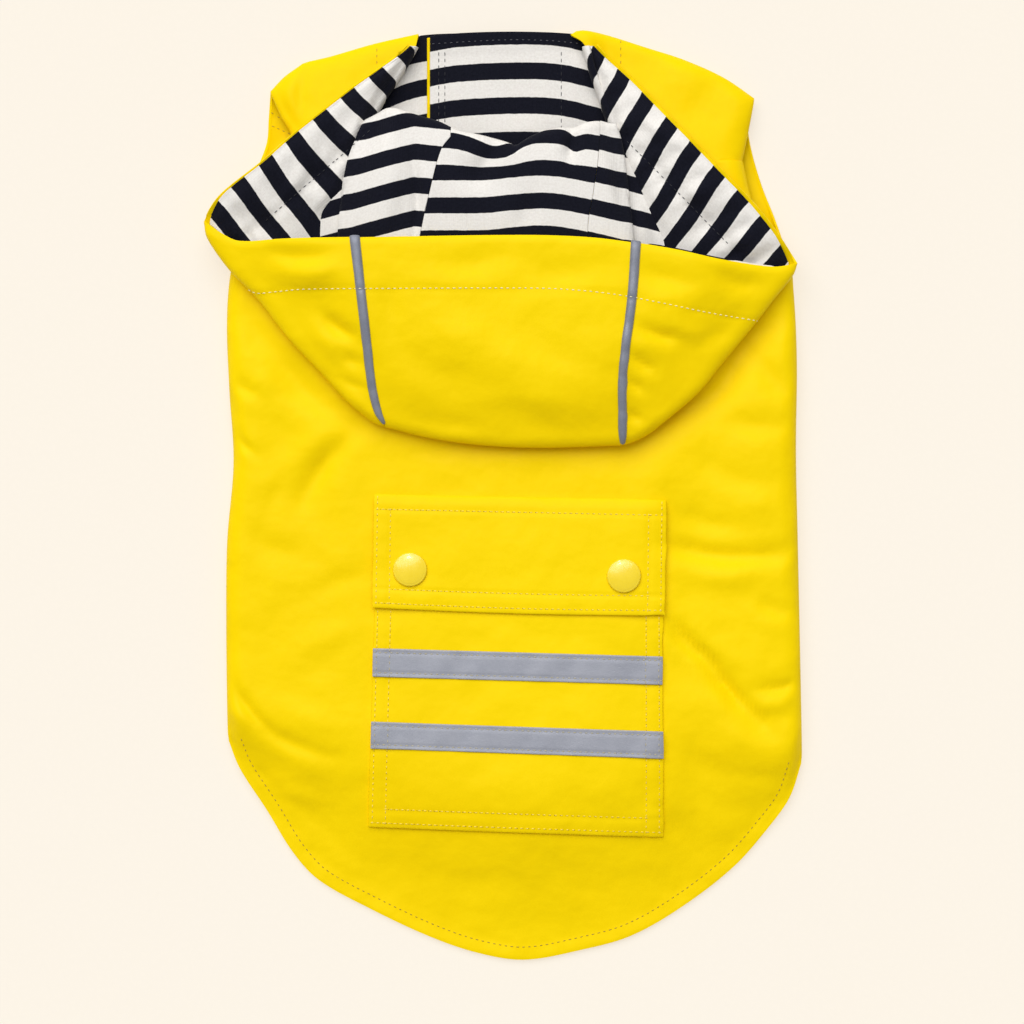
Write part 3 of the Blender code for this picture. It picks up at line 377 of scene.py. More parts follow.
def creased(x, y, table, times=1.0):
    """Creases a little bowed, deepest in the middle, with a soft shoulder beside, each fading out at its ends."""
    height = np.zeros(np.broadcast(x, y).shape)
    for c in table:
        dx, dy = c.x1 - c.x0, c.y1 - c.y0
        length = math.hypot(dx, dy)
        run = ((x - c.x0) * dx + (y - c.y0) * dy) / length**2
        off = ((y - c.y0) * dx - (x - c.x0) * dy) / length
        off = off + 0.12 * length * np.sin(math.pi * clamp(run)) * 0.5
        beyond = np.maximum(np.maximum(-run, run - 1), 0) * length
        fade = bell(beyond, 1.4 * c.wide) * (0.35 + 0.65 * np.sin(math.pi * clamp(run)))
        trough = bell(off, c.wide)
        shoulder = bell(off + 1.9 * c.wide, 1.3 * c.wide)
        height = height + times * c.high * fade * (trough - 0.35 * shoulder)
    return height


def spaced(length, step=MESH_STEP, near=0.0, far=0.0):
    """Shares from 0 to 1 about a step apart, closer where a roll of reach near or far ends the run."""
    rows = [0.0]
    at = 0.0
    while at < length:
        edge = min(at / near if near else 1.0, (length - at) / far if far else 1.0)
        at += step * min(1.0, max(0.04, math.sqrt(max(edge, 0.0)) * 0.9 + 0.04))
        rows.append(min(at, length))
    rows = np.array(rows)
    if len(rows) > 2 and rows[-1] - rows[-2] < 0.25 * step * (0.1 if far else 1):
        rows = np.delete(rows, -2)
    return rows / length


# ---------------------------------------------------------------- the coat's surfaces


def swell(x, y):
    """Height of the back without its folds."""
    across = (x - MID_X) / HALF_WIDTH
    body = BACK_Z + BACK_CROWN * (1 - across * across)
    return mix(body, SHOULDER_Z, ramp((y - SHOULDER_FROM) / SHOULDER_RUN))


def back_height(x, y):
    """Middle surface of the back panel away from its edges, with its largest folds."""
    return swell(x, y) + folds(x, y, BACK_FOLDS)


def side_seam_height(y, hem_y):
    """Height of the side seam, which comes down to the hem's corner."""
    return mix(HEM_CORNER_Z, SIDE_SEAM_Z, ramp((y - hem_y) / HEM_RISE_AT_CORNER))


def fold_distance(x, y):
    """How far a point of the hood is from the folded outline of its bag."""
    ways = np.stack(
        np.broadcast_arrays(
            (x - along(HOOD_LEFT_FOLD, y)) * FOLD_SLANT,
            (along(HOOD_RIGHT_FOLD, y) - x) * FOLD_SLANT,
            y - along(HOOD_CROWN, x),
        )
    )
    near = np.maximum(ways, 1e-3)
    return np.where(ways.min(axis=0) <= 0, 0.0, (near**-3.0).sum(axis=0) ** (-1 / 3))


def hood_bed(x, y):
    """Height at which the hood lies on the back."""
    return swell(x, y) + WALL + SEAM


def bulge(x, y):
    """How far the hood's floor rises between its two valleys."""
    left, right = along(VALLEY_LEFT_X, y), along(VALLEY_RIGHT_X, y)
    within = ramp((x - left) / 15) * ramp((right - x) / 15)
    return BULGE * within * ramp((y - 60) / 85)


def rim_lift(y, low, high):
    """Height of a cheek's opening edge over the lower layer, from its corner to the throat."""
    share = clamp((y - low) / (high - low))
    return 2.0 + 6.5 * np.sin(math.pi * share**0.8)


def cheek_lift(x, y, side):
    """How far a cheek rises from its valley to its opening edge."""
    hood = HOOD_LEFT if side < 0 else HOOD_RIGHT
    edge, valley, low = along(hood.opening, y), along(hood.valley, y), hood.corner_y
    share = clamp((x - valley) / np.where(np.abs(edge - valley) < 0.1, 0.1 * side, edge - valley))
    return rim_lift(y, low, 203.0) * share * ramp((y - low + 6) / 16)


def hood_upper(x, y):
    """Middle surface of the hood's upper layer."""
    reach = fold_distance(x, y)
    lip = hood_bed(x, y) + LIP
    rise = HOOD_TOP_Z - lip - LIP
    full = lip + LIP * roll(reach / LIP_REACH) + rise * ramp(reach / HOOD_RISE_RUN)
    return full + creased(x, y, HOOD_CREASES, CREASE_TIMES["hood"]) * ramp(reach / 12)


def hood_lower(x, y, side=0):
    """Middle surface of the hood's lower layer. side is 0 for the middle panel, -1 or 1 for a side panel."""
    lip = hood_bed(x, y) + LIP
    inside = fold_distance(x, np.minimum(y, 100.0)) if side == 0 else fold_distance(x, y)
    low = lip - LIP * roll(inside / LIP_REACH)
    if side:
        low = mix(low, hood_bed(x, y), ramp((y - 100) / 22))
        low = low + cheek_lift(x, y, side)
    return low + bulge(x, y)


def beside_valley(hood, x, y):
    """How far a point of the hood's floor lies in from where its fullness starts."""
    return (x - along(hood.full, y)) * -hood.side


def lining_floor(x, y, side=0):
    """The striped lining's middle surface, with its fullness and its soft waves."""
    beside = np.minimum(beside_valley(HOOD_LEFT, x, y), beside_valley(HOOD_RIGHT, x, y))
    full = roll(beside / CHEEK_ROLL) * mix(0.4, 1.0, ramp((y - 84) / 24))
    waves = creased(x, y, CHEEK_CREASES, CREASE_TIMES["cheek"])
    waves = np.where(beside > 1.0, waves, np.maximum(waves, -0.2) + 0.1)
    return hood_lower(x, y, side) + LINING_OVER + FULLNESS * full + waves


def edge_run(hood, x, y):
    """Distances along a cheek's opening edge and square in from it."""
    turn = math.radians(hood.edge_turn)
    dx, dy = x - hood.edge_at[0], y - hood.edge_at[1]
    run = dx * math.cos(turn) + dy * math.sin(turn)
    return run, dx * math.sin(turn) - dy * math.cos(turn)


def puckers(hood, x, y):
    """A cheek's hem: puffed between its edge and its stitches, with small uneven ripples across it."""
    run, inward = edge_run(hood, x, y)
    wave = np.sin(run * 0.72 + 1.1 * np.sin(run * 0.13) + 0.16 * inward)
    wave = wave + 0.7 * np.sin(run * 0.41 + 2.0 - 0.09 * inward)
    deep = bell(inward - CHEEK_HEM, 8.0) + 0.5 * bell(inward - 8, 7.0)
    puff = 2.1 * ramp(inward / 7) * ramp((44 - inward) / 14)
    line = 1.5 * bell(inward - CHEEK_HEM, 3.0)
    return np.maximum(puff - line + 1.0 * wave * deep, 0.0)


def seam_x(hood, y):
    """The seam between the middle and a side panel on the lower layer."""
    (low, x_low), (high, x_high) = hood.seam
    return mix(x_low, x_high, (y - low) / (high - low))


def ridge_y(x):
    """Where the lining turns over into the neck."""
    return RIDGE_Y + along(RIDGE_LIFT, x)


def overlap_lift(x, y):
    """How far the right front stands over the left, and over the left's lining near the neck."""
    over = WALL + SEAM + mix(0, LINING + SEAM, ramp((y - 98) / 14))
    return over * clamp((OVERLAP_CLEAR - x) / (OVERLAP_CLEAR - OVERLAP_FULL))


def stacked(*arrays):
    return np.stack(np.broadcast_arrays(*arrays), axis=-1)


def plan_grid(x, y, z):
    """A grid's points, with their plan as the cloth's own coordinates."""
    return stacked(x, y, z), stacked(x, y)


def moved_out(surface, x, y, out):
    """Points of a surface, moved out square to it."""
    step = 0.5
    slope_x = (surface(x + step, y) - surface(x - step, y)) / (2 * step)
    slope_y = (surface(x, y + step) - surface(x, y - step)) / (2 * step)
    square = stacked(-slope_x, -slope_y, np.ones_like(slope_x))
    square = square / np.linalg.norm(square, axis=-1, keepdims=True)
    return stacked(x, y, surface(x, y)) + square * np.asarray(out)[..., None]


# ---------------------------------------------------------------- meshes

SHIFT = None
PIECES = {}  # finished cloth by the name of its node


def plan_shift():
    """How far the coat's plan moves to lie on the frame, by its two snap caps."""
    low_left, high_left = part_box("snap_left")
    low_right, high_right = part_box("snap_right")
    x = (low_left[0] + high_left[0] + low_right[0] + high_right[0]) / 4 * 1000
    y = (low_left[1] + high_left[1] + low_right[1] + high_right[1]) / 4 * 1000
    (ax, ay), (bx, by) = SNAPS.values()
    return np.array([x - (ax + bx) / 2, y - (ay + by) / 2, 0.0])


def in_frame(points):
    return (np.asarray(points, float) + SHIFT) * 0.001


def mesh_from_grids(name, grids):
    """One mesh from grids of points, each with its own cloth coordinates, welded where their borders meet."""
    vertices, faces, coords = [], [], []
    start = 0
    for points, cloth in grids:
        rows, columns = points.shape[:2]
        vertices.append(in_frame(points).reshape(-1, 3))
        index = np.arange(rows * columns).reshape(rows, columns) + start
        quads = np.stack([index[:-1, :-1], index[:-1, 1:], index[1:, 1:], index[1:, :-1]], axis=-1).reshape(-1, 4)
        faces.append(quads)
        coords.append((cloth * 0.001).reshape(-1, 2)[quads.ravel() - start])
        start += rows * columns
    mesh = bpy.data.meshes.new(name)
    mesh.from_pydata(np.concatenate(vertices).tolist(), [], np.concatenate(faces).tolist())
    layer = mesh.uv_layers.new(name="cloth")
    layer.data.foreach_set("uv", np.concatenate(coords).astype(np.float32).ravel())
    bm = bmesh.new()
    bm.from_mesh(mesh)
    bmesh.ops.remove_doubles(bm, verts=bm.verts, dist=0.000004)
    bmesh.ops.dissolve_degenerate(bm, edges=bm.edges, dist=0.000002)
    bmesh.ops.recalc_face_normals(bm, faces=bm.faces)
    bm.to_mesh(mesh)
    bm.free()
    mesh.shade_smooth()
    return mesh


# ---------------------------------------------------------------- the coat's body


def distance_to(line, x, y):
    """Distance of points from a line of points."""
    shortest = np.full(x.shape, 1e9)
    for (ax, ay), (bx, by) in zip(line[:-1], line[1:]):
        dx, dy = bx - ax, by - ay
        share = clamp(((x - ax) * dx + (y - ay) * dy) / (dx * dx + dy * dy))
        shortest = np.minimum(shortest, np.hypot(x - ax - share * dx, y - ay - share * dy))
    return shortest


def back_body():
    """The plan of the back's body, from the tail's hem to the neck, between the side seams."""
    left_edge = path(*LEFT_SIDE, (-113, 124), LEFT_ARMHOLE_BACK[0])
    right_edge = path(*RIGHT_SIDE, (111, 126), RIGHT_ARMHOLE_BACK[0])
    return coons(path(*HEM_OUTLINE), path(LEFT_ARMHOLE_BACK[0], RIGHT_ARMHOLE_BACK[0]), left_edge, right_edge)


def body_heights(body, f, t):
    """Plan points and heights of the body's middle surface, with its creases, by shares across and along."""
    spot, west, east, hem = body(f, t), body(0 * f, t), body(0 * f + 1, t), body(f, 0 * t)
    x, y = spot[..., 0], spot[..., 1]
    from_side = np.minimum(x - west[..., 0], east[..., 0] - x)
    seam = mix(SIDE_SEAM_Z, ARMHOLE_Z, ramp((y - 112) / 26))
    fine = creased(x, y, BACK_CREASES, CREASE_TIMES["back"]) + creased(x, y, BACK_WAVES, CREASE_TIMES["waves"])
    fine = fine * ramp(from_side / 6)
    height = mix(seam, back_height(x, y) + fine, roll(from_side / SIDE_TUCK))
    hem_z = mix(HEM_Z, HEM_CORNER_Z, bell(from_side, 16))
    run = mix(HEM_RISE_AT_CORNER, HEM_RISE, clamp(from_side / 45))
    return x, y, mix(hem_z, height, ramp((y - hem[..., 1]) / run))


def back_surface(x, y):
    """Height of the back's middle surface over points of the plan, closing in on their two shares."""
    x, y = np.broadcast_arrays(np.asarray(x, float), np.asarray(y, float))
    body = back_body()
    f, t = 0.5 + (x - MID_X) / (2 * HALF_WIDTH), (y + 205) / 353
    step = 0.001
    for _ in range(5):
        spot = body(f, t)
        across, length = (body(f + step, t) - spot) / step, (body(f, t + step) - spot) / step
        dx, dy = x - spot[..., 0], y - spot[..., 1]
        area = across[..., 0] * length[..., 1] - across[..., 1] * length[..., 0]
        f = f + (dx * length[..., 1] - dy * length[..., 0]) / area
        t = t + (dy * across[..., 0] - dx * across[..., 1]) / area
    return body_heights(body, f, t)[2]


def back_grids():
    """The back panel: the body below the neck and a shoulder on each side of it."""
    body = back_body()
    width = RIGHT_ARMHOLE_BACK[0][0] - LEFT_ARMHOLE_BACK[0][0]
    at_left = (LEFT_NECK[0][0] - LEFT_ARMHOLE_BACK[0][0]) / width
    at_right = (RIGHT_NECK[0][0] - LEFT_ARMHOLE_BACK[0][0]) / width
    left_run = at_left * spaced(at_left * 235, near=SIDE_ROLL)
    middle_run = mix(at_left, at_right, spaced((at_right - at_left) * 235))
    right_run = mix(at_right, 1.0, spaced((1 - at_right) * 235, far=SIDE_ROLL))
    across = np.concatenate([left_run, middle_run[1:], right_run[1:]])
    rows = spaced(330, step=1.9)
    f, t = np.meshgrid(across, rows)
    x, y, z = body_heights(body, f, t)
    outline = path(*HEM_OUTLINE)(np.linspace(0, 1, 160))
    near = y < -90
    from_hem = np.full(x.shape, 99.0)
    from_hem[near] = distance_to(outline, x[near], y[near])
    z = z + 0.32 * (1 - ramp((from_hem - HEM_WIDE + 0.5) / 1.1))
    z = z - 0.30 * bell(from_hem - HEM_WIDE + HEM_STITCH_OUT, 0.9)
    pucker = np.sin(x * 0.52 + y * 0.31) * np.sin(x * 0.17 - y * 0.43 + 1.0)
    z = z + 0.16 * pucker * bell(from_hem - HEM_WIDE, 5.0)
    grids = [plan_grid(x, y, z)]

    left = coons(
        path(LEFT_ARMHOLE_BACK[0], LEFT_NECK[0]), path(*LEFT_SHOULDER),
        path(*LEFT_ARMHOLE_BACK), path(*LEFT_NECK),
    )
    right = coons(
        path(RIGHT_NECK[0], RIGHT_ARMHOLE_BACK[0]), path(*RIGHT_SHOULDER),
        path(*RIGHT_NECK), path(*RIGHT_ARMHOLE_BACK),
    )
    up = spaced(52, far=SHOULDER_ROLL)
    for patch, shares, armhole_at in (
        (left, left_run / at_left, 0.0),
        (right, (right_run - at_right) / (1 - at_right), 1.0),
    ):
        f, t = np.meshgrid(shares, up)
        spot, top, out = patch(f, t), patch(f, 0 * t + 1), patch(0 * f + armhole_at, t)
        from_seam = np.linalg.norm(top - spot, axis=-1)
        from_armhole = np.linalg.norm(out - spot, axis=-1)
        x, y = spot[..., 0], spot[..., 1]
        height = mix(ARMHOLE_Z, back_height(x, y), roll(from_armhole / SIDE_ROLL))
        shoulder = creased(x, y, SHOULDER_CREASES, CREASE_TIMES["shoulder"])
        shoulder = shoulder * ramp(from_armhole / 5) * ramp(from_seam / 5)
        z = mix(SHOULDER_SEAM_Z, height + shoulder, roll(from_seam / SHOULDER_ROLL))
        z = z + NECK_TIP * ramp((45 - x) / 9) * ramp((x - 20) / 5)
        grids.append(plan_grid(x, y, z))
    return grids


def front_height(y, from_side, from_top, rises, hem_y):
    """A front's middle surface: flat on the ground, rising to its side and, where rises is 1, to its shoulder."""
    in_armhole = ramp((y - 112) / 22)
    edge = mix(side_seam_height(y, hem_y) - SEAM_ENDS, FRONT_ARMHOLE_Z, in_armhole)
    height = mix(edge, GROUND, roll(from_side / FRONT_ROLL))
    shoulder = SHOULDER_SEAM_Z - SHOULDER_ENDS
    return mix(height, mix(shoulder, height, roll(from_top / SHOULDER_ROLL)), rises)


def front_grids(left):
    if left:
        patch = coons(
            path(*REAR_EDGE_LEFT),
            path(*LEFT_SHOULDER[:-1], (-38.5, 202.6), (-6, 203.9), (OVERLAP_RIGHT, 204.0)),
            path((-121.5, -98), *LEFT_SIDE[1:], *LEFT_ARMHOLE_FRONT[:-1], LEFT_SHOULDER[0]),
            path((OVERLAP_RIGHT, -45), (OVERLAP_RIGHT, 204.0)),
        )
        shares, side_at, hem_y = spaced(146, step=3.0, near=FRONT_ROLL), 0.0, HEM_OUTLINE[0][1]
    else:
        patch = coons(
            path(*REAR_EDGE_RIGHT),
            path((OVERLAP_LEFT, 202.7), (0, 204.0), (32, 203.6), *RIGHT_SHOULDER[3:]),
            path((OVERLAP_LEFT, -50), (OVERLAP_LEFT, 202.7)),
            path((131.1, -108), *RIGHT_SIDE[1:], *RIGHT_ARMHOLE_FRONT[:-1], RIGHT_SHOULDER[-1]),
        )
        shares, side_at, hem_y = spaced(165, step=3.0, far=FRONT_ROLL), 1.0, HEM_OUTLINE[-1][1]
    f, t = np.meshgrid(shares, spaced(300, step=3.0, far=SHOULDER_ROLL))
    spot, side, top = patch(f, t), patch(0 * f + side_at, t), patch(f, 0 * t + 1)
    x, y = spot[..., 0], spot[..., 1]
    from_side = np.abs(x - side[..., 0])
    from_top = np.linalg.norm(top - spot, axis=-1)
    rises = ramp((-41 - x) / 10) if left else ramp((x - 50) / 8)
    z = front_height(y, from_side, from_top, rises, hem_y)
    if not left:
        z = z + overlap_lift(x, y)
    return [plan_grid(x, y, z)]


# ---------------------------------------------------------------- the hood


def brim_shape(x, y):
    """The brim's folded facing: a raised band that its stitch line presses in."""
    from_brim = along(BRIM_Y, x) - y
    stitched = along(HOOD_STITCH_Y, x)
    band = 1 - ramp((stitched - y + 0.4) / 1.0)
    pressed = bell(y - stitched, 0.9)
    edge = 1 - roll(from_brim / 2.2)
    return 0.30 * band - 0.34 * pressed - 0.9 * edge


def upper_shaped(x, y):
    return hood_upper(x, y) + brim_shape(x, y)


def hood_centre_grids():
    """The middle panel: its upper layer from the brim down, over the crown fold, and back up as the lower layer."""
    across = spaced(110)

    def row(upper, share=None, from_fold=None):
        """Plan points of a row, a share of the way along its layer or at a distance from the fold."""
        x = mix(-55.0, 53.0, across)
        for _ in range(5):
            crown = along(HOOD_CROWN, x)
            if from_fold is not None:
                y = crown + from_fold
            elif upper:
                y = mix(along(BRIM_Y, x), crown + FOLD_STEPS[-1], share)
            else:
                y = mix(crown + FOLD_STEPS[-1], RIDGE_Y - 6, share)
            left, right = along(PIPING_LEFT_X, y), along(PIPING_RIGHT_X, y)
            if not upper:
                first = ramp((y - crown) / 5.0)
                left, right = mix(left, seam_x(HOOD_LEFT, y), first), mix(right, seam_x(HOOD_RIGHT, y), first)
            x = mix(left + SEAM / 2, right - SEAM / 2, across)
        return x, y

    rows = [row(True, share) for share in spaced(88)]
    rows += [row(True, from_fold=step) for step in reversed(FOLD_STEPS[:-1])]
    upper = len(rows)
    rows += [row(False, from_fold=step) for step in FOLD_STEPS[1:-1]]
    rows += [row(False, share) for share in spaced(112, step=3.0)]
    x, y = np.array([x for x, _ in rows]), np.array([y for _, y in rows])
    z = np.where(np.arange(len(rows))[:, None] < upper, upper_shaped(x, y), hood_lower(x, y))
    return [plan_grid(x, y, z)]


def hood_side_grids(hood):
    """A side panel: upper layer, side fold and lower layer, then the cheek that runs on to the throat."""
    out = hood.side
    bag = mix(hood.first_y, hood.corner_y, spaced(88, near=8))
    cheek = mix(hood.corner_y, THROAT_Y, spaced(95))
    upper = spaced(62, far=LIP_REACH / FOLD_SLANT)
    lower = spaced(60, near=LIP_REACH / FOLD_SLANT)
    inner = spaced(26, step=3.0)[1:]

    edge = along(hood.fold, bag)[:, None]
    share = upper[None, :-1]
    rise = (bag - bag[0])[:, None] / (bag[-1] - bag[0])
    piping_top = float(along(hood.piping, 112.0))
    seam_y = mix(hood.crown_y, float(along(BRIM_Y, piping_top)), rise)
    start = along(hood.piping, seam_y) + out * SEAM / 2
    x_upper = mix(start, edge, share)
    reach = share ** mix(1.5, 5.0, ramp(rise / 0.16))
    y_upper = mix(seam_y, bag[:, None], reach)
    at_brim = mix(along(BRIM_Y, x_upper[-1:]), bag[-1], share**14)
    y_upper = y_upper + (at_brim - y_upper[-1:]) * ramp((rise - 0.5) / 0.5)
    bottom_x, bottom_y = x_upper[0][::out], y_upper[0][::out]

    def closed(x, y, z):
        """Brings the two layers together along the panel's lowest edge."""
        lip = hood_bed(x, y) + LIP
        low = np.interp(x, bottom_x, bottom_y)
        return lip + (z - lip) * roll((y - low) / 4.0)

    z_upper = closed(x_upper, y_upper, upper_shaped(x_upper, y_upper))

    def lower_part(levels, edges, with_inner=True):
        """The lower layer out to the panel's edges. Its inner part runs on from the valley to the seam."""
        levels = levels[:, None]
        seam = seam_x(hood, levels) + out * SEAM / 2
        valley = mix(mix(edges, seam, 0.6), along(hood.valley, levels), ramp((levels - 45) / 25))
        valley = valley + out * 4.0 * ramp((levels - CHEEK_FROM_Y) / 9)
        x = mix(edges, valley, lower[None, :])
        if with_inner:
            x = np.concatenate([x, mix(valley, seam, inner[None, :])], axis=1)
        drop = np.interp(x, bottom_x, bottom_y) - bag[0]
        y = levels + drop * (1 - ramp((levels - bag[0]) / 14))
        return x, y, closed(x, y, hood_lower(x, y, out))

    below = zip((x_upper, y_upper, z_upper), lower_part(bag, edge))
    last = int((cheek <= CHEEK_FROM_Y).sum())
    opening = along(hood.opening, cheek)[:, None]
    parts = (
        [np.concatenate(pair, axis=1) for pair in below],
        lower_part(cheek[:last], opening[:last]),
        lower_part(cheek[last - 1:], opening[last - 1:], with_inner=False),
    )
    return [plan_grid(*part) for part in parts]


def stripes_centre(x, y):
    """Cloth coordinate along the stripes' pitch on the hood's floor, middle panel."""
    drift = along(((-45, 0.6), (-30, 0.2), (-8, 0.1), (3, -1.0), (14.6, -1.9), (25, -1.3), (40, 1.4), (50, 3)), x)
    dip = 6.6 * bell(x + 2, np.where(x < -2, 12.0, 9.0)) + 2.2 * bell(x - 31.3, 3.4)
    return stacked(x, (y + drift + dip * ramp((y - 142) / 8) - 156.2) * 1.07)


def stripes_left(x, y):
    """The same beside the middle panel on the left, where a crease turns the stripes."""
    beyond = x + 39.2
    turn = np.where(beyond < 0, -0.268 * beyond, 0.11 * beyond)
    return stacked(x, (y + turn - 151.0) * 1.05)


def stripes_right(x, y):
    """The same on the right, where the stripes slope."""
    return stacked(x, (y + 0.235 * (x - 42.0) - 155.2) * 1.05)


def stripes_cheek(hood, x, y):
    """Stripes across a cheek: they run in from the opening edge, and bend a little over its waves."""
    run, inward = edge_run(hood, x, y)
    stripe = run
    for _ in range(4):
        stripe = run - along(hood.skew, stripe) * inward
    bend = 0.45 * np.sin(inward * 0.16 + run * 0.04) * ramp(inward / 8)
    return stacked(inward, (stripe + bend) * STRIPE_PITCH / hood.pitch)


def rolled_rows(x_of_row, start, surface, cloth):
    """Rows up to the ridge, then over it and down inside the neck. x_of_row gives a row's points by height."""
    xs, ys, zs, vs = [], [], [], []
    top = ridge_y(x_of_row(0 * start + RIDGE_Y)) - 4.0
    for share in spaced(100):
        y = mix(start, top, share)
        x = x_of_row(y)
        top = ridge_y(x) - 4.0
        xs.append(x)
        ys.append(y)
        zs.append(surface(x, y))
        vs.append(cloth(x, y))
    base_y, base_z, gone = ys[-1], zs[-1], 0.0
    for last, (ahead, drop) in zip(RIDGE_ROLL, RIDGE_ROLL[1:]):
        gone += math.hypot(ahead - last[0], drop - last[1])
        xs.append(x)
        ys.append(base_y + ahead)
        zs.append(base_z + drop)
        vs.append(cloth(x, base_y + gone))
    return stacked(np.array(xs), np.array(ys), np.array(zs)), np.array(vs)


def lining_centre_grids():
    """The middle lining: the hood's floor, which turns over the ridge, and the roof under the upper layer."""
    across = spaced(76)

    def x_of_row(y):
        return mix(along(LINING_SEAM_LEFT, y) + 0.05, along(LINING_SEAM_RIGHT, y) - 0.05, across)

    floor = rolled_rows(x_of_row, np.full(across.shape, 42.0), lining_floor, stripes_centre)

    rows = spaced(60, step=3.0)[:, None]
    x = mix(-58.0, 52.0, across[None, :]) + 0 * rows
    y = mix(along(BRIM_Y, x) - 1.0, along(HOOD_CROWN, x) + 14.0, rows)
    x = mix(along(PIPING_LEFT_X, y) + 0.3, along(PIPING_RIGHT_X, y) - 0.3, across[None, :])
    roof = (stacked(x, y, upper_shaped(x, y) - LINING_OVER), stacked(x, 40.0 - y))
    return [floor, roof]


def fold_under(hood, y):
    """How far the low fold beside a valley runs out under the cheek."""
    return hood.under * ramp((141 - y) / 18)


def cheek_grid(hood):
    """A cheek's lining, from its opening edge in to its valley, where it turns down."""
    out = hood.side
    bag = mix(62.0, hood.corner_y - 0.6, spaced(58))
    cheek = mix(hood.corner_y + 0.4, THROAT_Y - 0.6, spaced(92))
    levels = np.concatenate([bag, cheek])[:, None]
    inset = mix(9.0, hood.rim, ramp((bag - hood.corner_y + 18) / 13)) + 1.1 * ramp((bag - hood.corner_y + 6) / 6)
    corner = 1.1 * bell(cheek - hood.corner_y, 7.0)
    in_bag = along(hood.fold, bag) - out * inset
    edge = np.concatenate([in_bag, along(hood.opening, cheek) - out * (hood.rim + corner)])[:, None]
    inner_edge = along(hood.valley, levels) + out * fold_under(hood, levels)
    x = mix(edge, inner_edge, spaced(60)[None, :])
    y = np.broadcast_to(levels, x.shape)
    rippled = puckers(hood, x, y) * ramp(np.abs(x - edge) / 4) * ramp(np.abs(x - inner_edge) / 5)
    z = lining_floor(x, y, out) + rippled
    turned = ramp((levels - 146) / 14)
    ahead, drop, taken = np.array(CHEEK_TUCK).T[:, None, :]
    x_tuck = x[:, -1:] - out * ahead * turned
    y_tuck = np.broadcast_to(levels, x_tuck.shape)
    z_tuck = z[:, -1:] + drop * mix(0.25, 1.0, turned)
    points = np.concatenate([stacked(x, y, z), stacked(x_tuck, y_tuck, z_tuck)], axis=1)
    tucked = stripes_cheek(hood, x[:, -1:] - out * np.cumsum(taken, axis=1), y_tuck)
    return points, np.concatenate([stripes_cheek(hood, x, y), tucked], axis=1)


def side_floor_grid(hood):
    """The hood's floor between a valley and the middle lining, its full edge hanging out over the valley."""
    out = hood.side
    inner = spaced(34, step=0.9)

    def x_of_row(y):
        outer_edge = along(hood.valley, y) + out * (fold_under(hood, y) + 0.3)
        return mix(outer_edge, along(hood.lining_seam, y) + out * 0.05, inner)

    stripes = stripes_left if out < 0 else stripes_right
    start = np.full(inner.shape, 62.0)
    floor, cloth = rolled_rows(x_of_row, start, lambda x, y: lining_floor(x, y, out), stripes)
    gone = beside_valley(hood, floor[..., 0], floor[..., 1])
    floor[..., 0] += out * (hood.over * bell(gone - 1.6, 1.5) * ramp((floor[..., 1] - 96) / 10))
    return floor, cloth


def side_roof_grid(hood):
    """The lining under a side panel's upper layer. On the right a little of it peeks out over the brim."""
    out = hood.side
    low, high = hood.first_y + 16, hood.corner_y - 5.0
    level = mix(low, high, spaced(60, step=3.0))
    rise = ((level - low) / (high - low))[:, None]
    level = level[:, None]
    share = spaced(50, step=3.0)[None, :]
    x = mix(along(hood.piping, level) + out * 0.3, along(hood.fold, level) - out * 7.0, share)
    peek = 0.0 if out < 0 else 1.9 * ramp((x - 58) / 8) * ramp((126 - x) / 10)
    y = mix(low + 0 * x, along(BRIM_Y, x) - 1.0 + peek, rise)
    return plan_grid(x, y, upper_shaped(x, np.minimum(y, along(BRIM_Y, x))) - LINING_OVER)


def lining_side_grids(hood):
    return [cheek_grid(hood), side_floor_grid(hood), side_roof_grid(hood)]


NECK_LINING_Z = GROUND + WALL / 2 + SEAM + LINING / 2


def neck_lining_left_grids():
    """The left half's lining, whose stripes turn in beside the shoulder under a navy band."""
    inner_x = OVERLAP_RIGHT - 2
    patch = coons(
        path((-72, 130), (inner_x, 130)),
        path((-42, 200.8), (-36, 203.9), (-6, 204.9), (inner_x, 205)),
        path((-72, 130), (-64, 166), (-50, 186), (-42, 200.8)),
        path((inner_x, 130), (inner_x, 205)),
    )
    f, t = np.meshgrid(spaced(80), spaced(75))
    spot = patch(f, t)
    x, y = spot[..., 0], spot[..., 1]
    hem = 0.45 * ramp((y - along(((-72, 196), (-41, 192), (25, 197)), x)) / 0.8)
    z = NECK_LINING_Z + hem + creased(x, y, NECK_CREASES)
    stripe = y - 181.0 - 0.10 * (x + 33) + 0.012 * (x + 33) ** 2
    band = along(((-45, 194.6), (-38, 194.2), (-30, 195.0)), x)
    stripe = np.where(y > band, mix(13.2, 17.2, clamp((y - band) / 10)), np.minimum(stripe, 12.8))
    return [(stacked(x, y, z), stacked(x, stripe))]


def neck_lining_right_grids():
    """The right half's lining, which laps over the left one, with its hem and its arched stripes."""
    inner_x = OVERLAP_LEFT + 1.3
    t = spaced(75)
    outer = path((70, 130), (57, 166), (42, 192), (36.5, 203.4))(t)[:, :1]
    x = mix(inner_x, outer, spaced(84)[None, :])
    top = along(((inner_x, 203.2), (-20, 204.6), (0, 205.3), (20, 205.0), (36.5, 203.9)), x)
    y = mix(130.0, top, t[:, None])
    hem = 0.5 * ramp((y - top + along(((-33, 8.6), (0, 8.0), (36, 6.4)), x)) / 0.6)
    z = NECK_LINING_Z + overlap_lift(x, y) + hem + creased(x, y, NECK_CREASES)
    arch = along(((-33.5, 3.4), (-20, 1.2), (7, 0), (25, 0.8), (40, 4.2), (60, 10)), x)
    return [(stacked(x, y, z), stacked(x, y + arch - 188.0))]


# ---------------------------------------------------------------- pocket, tape and piping

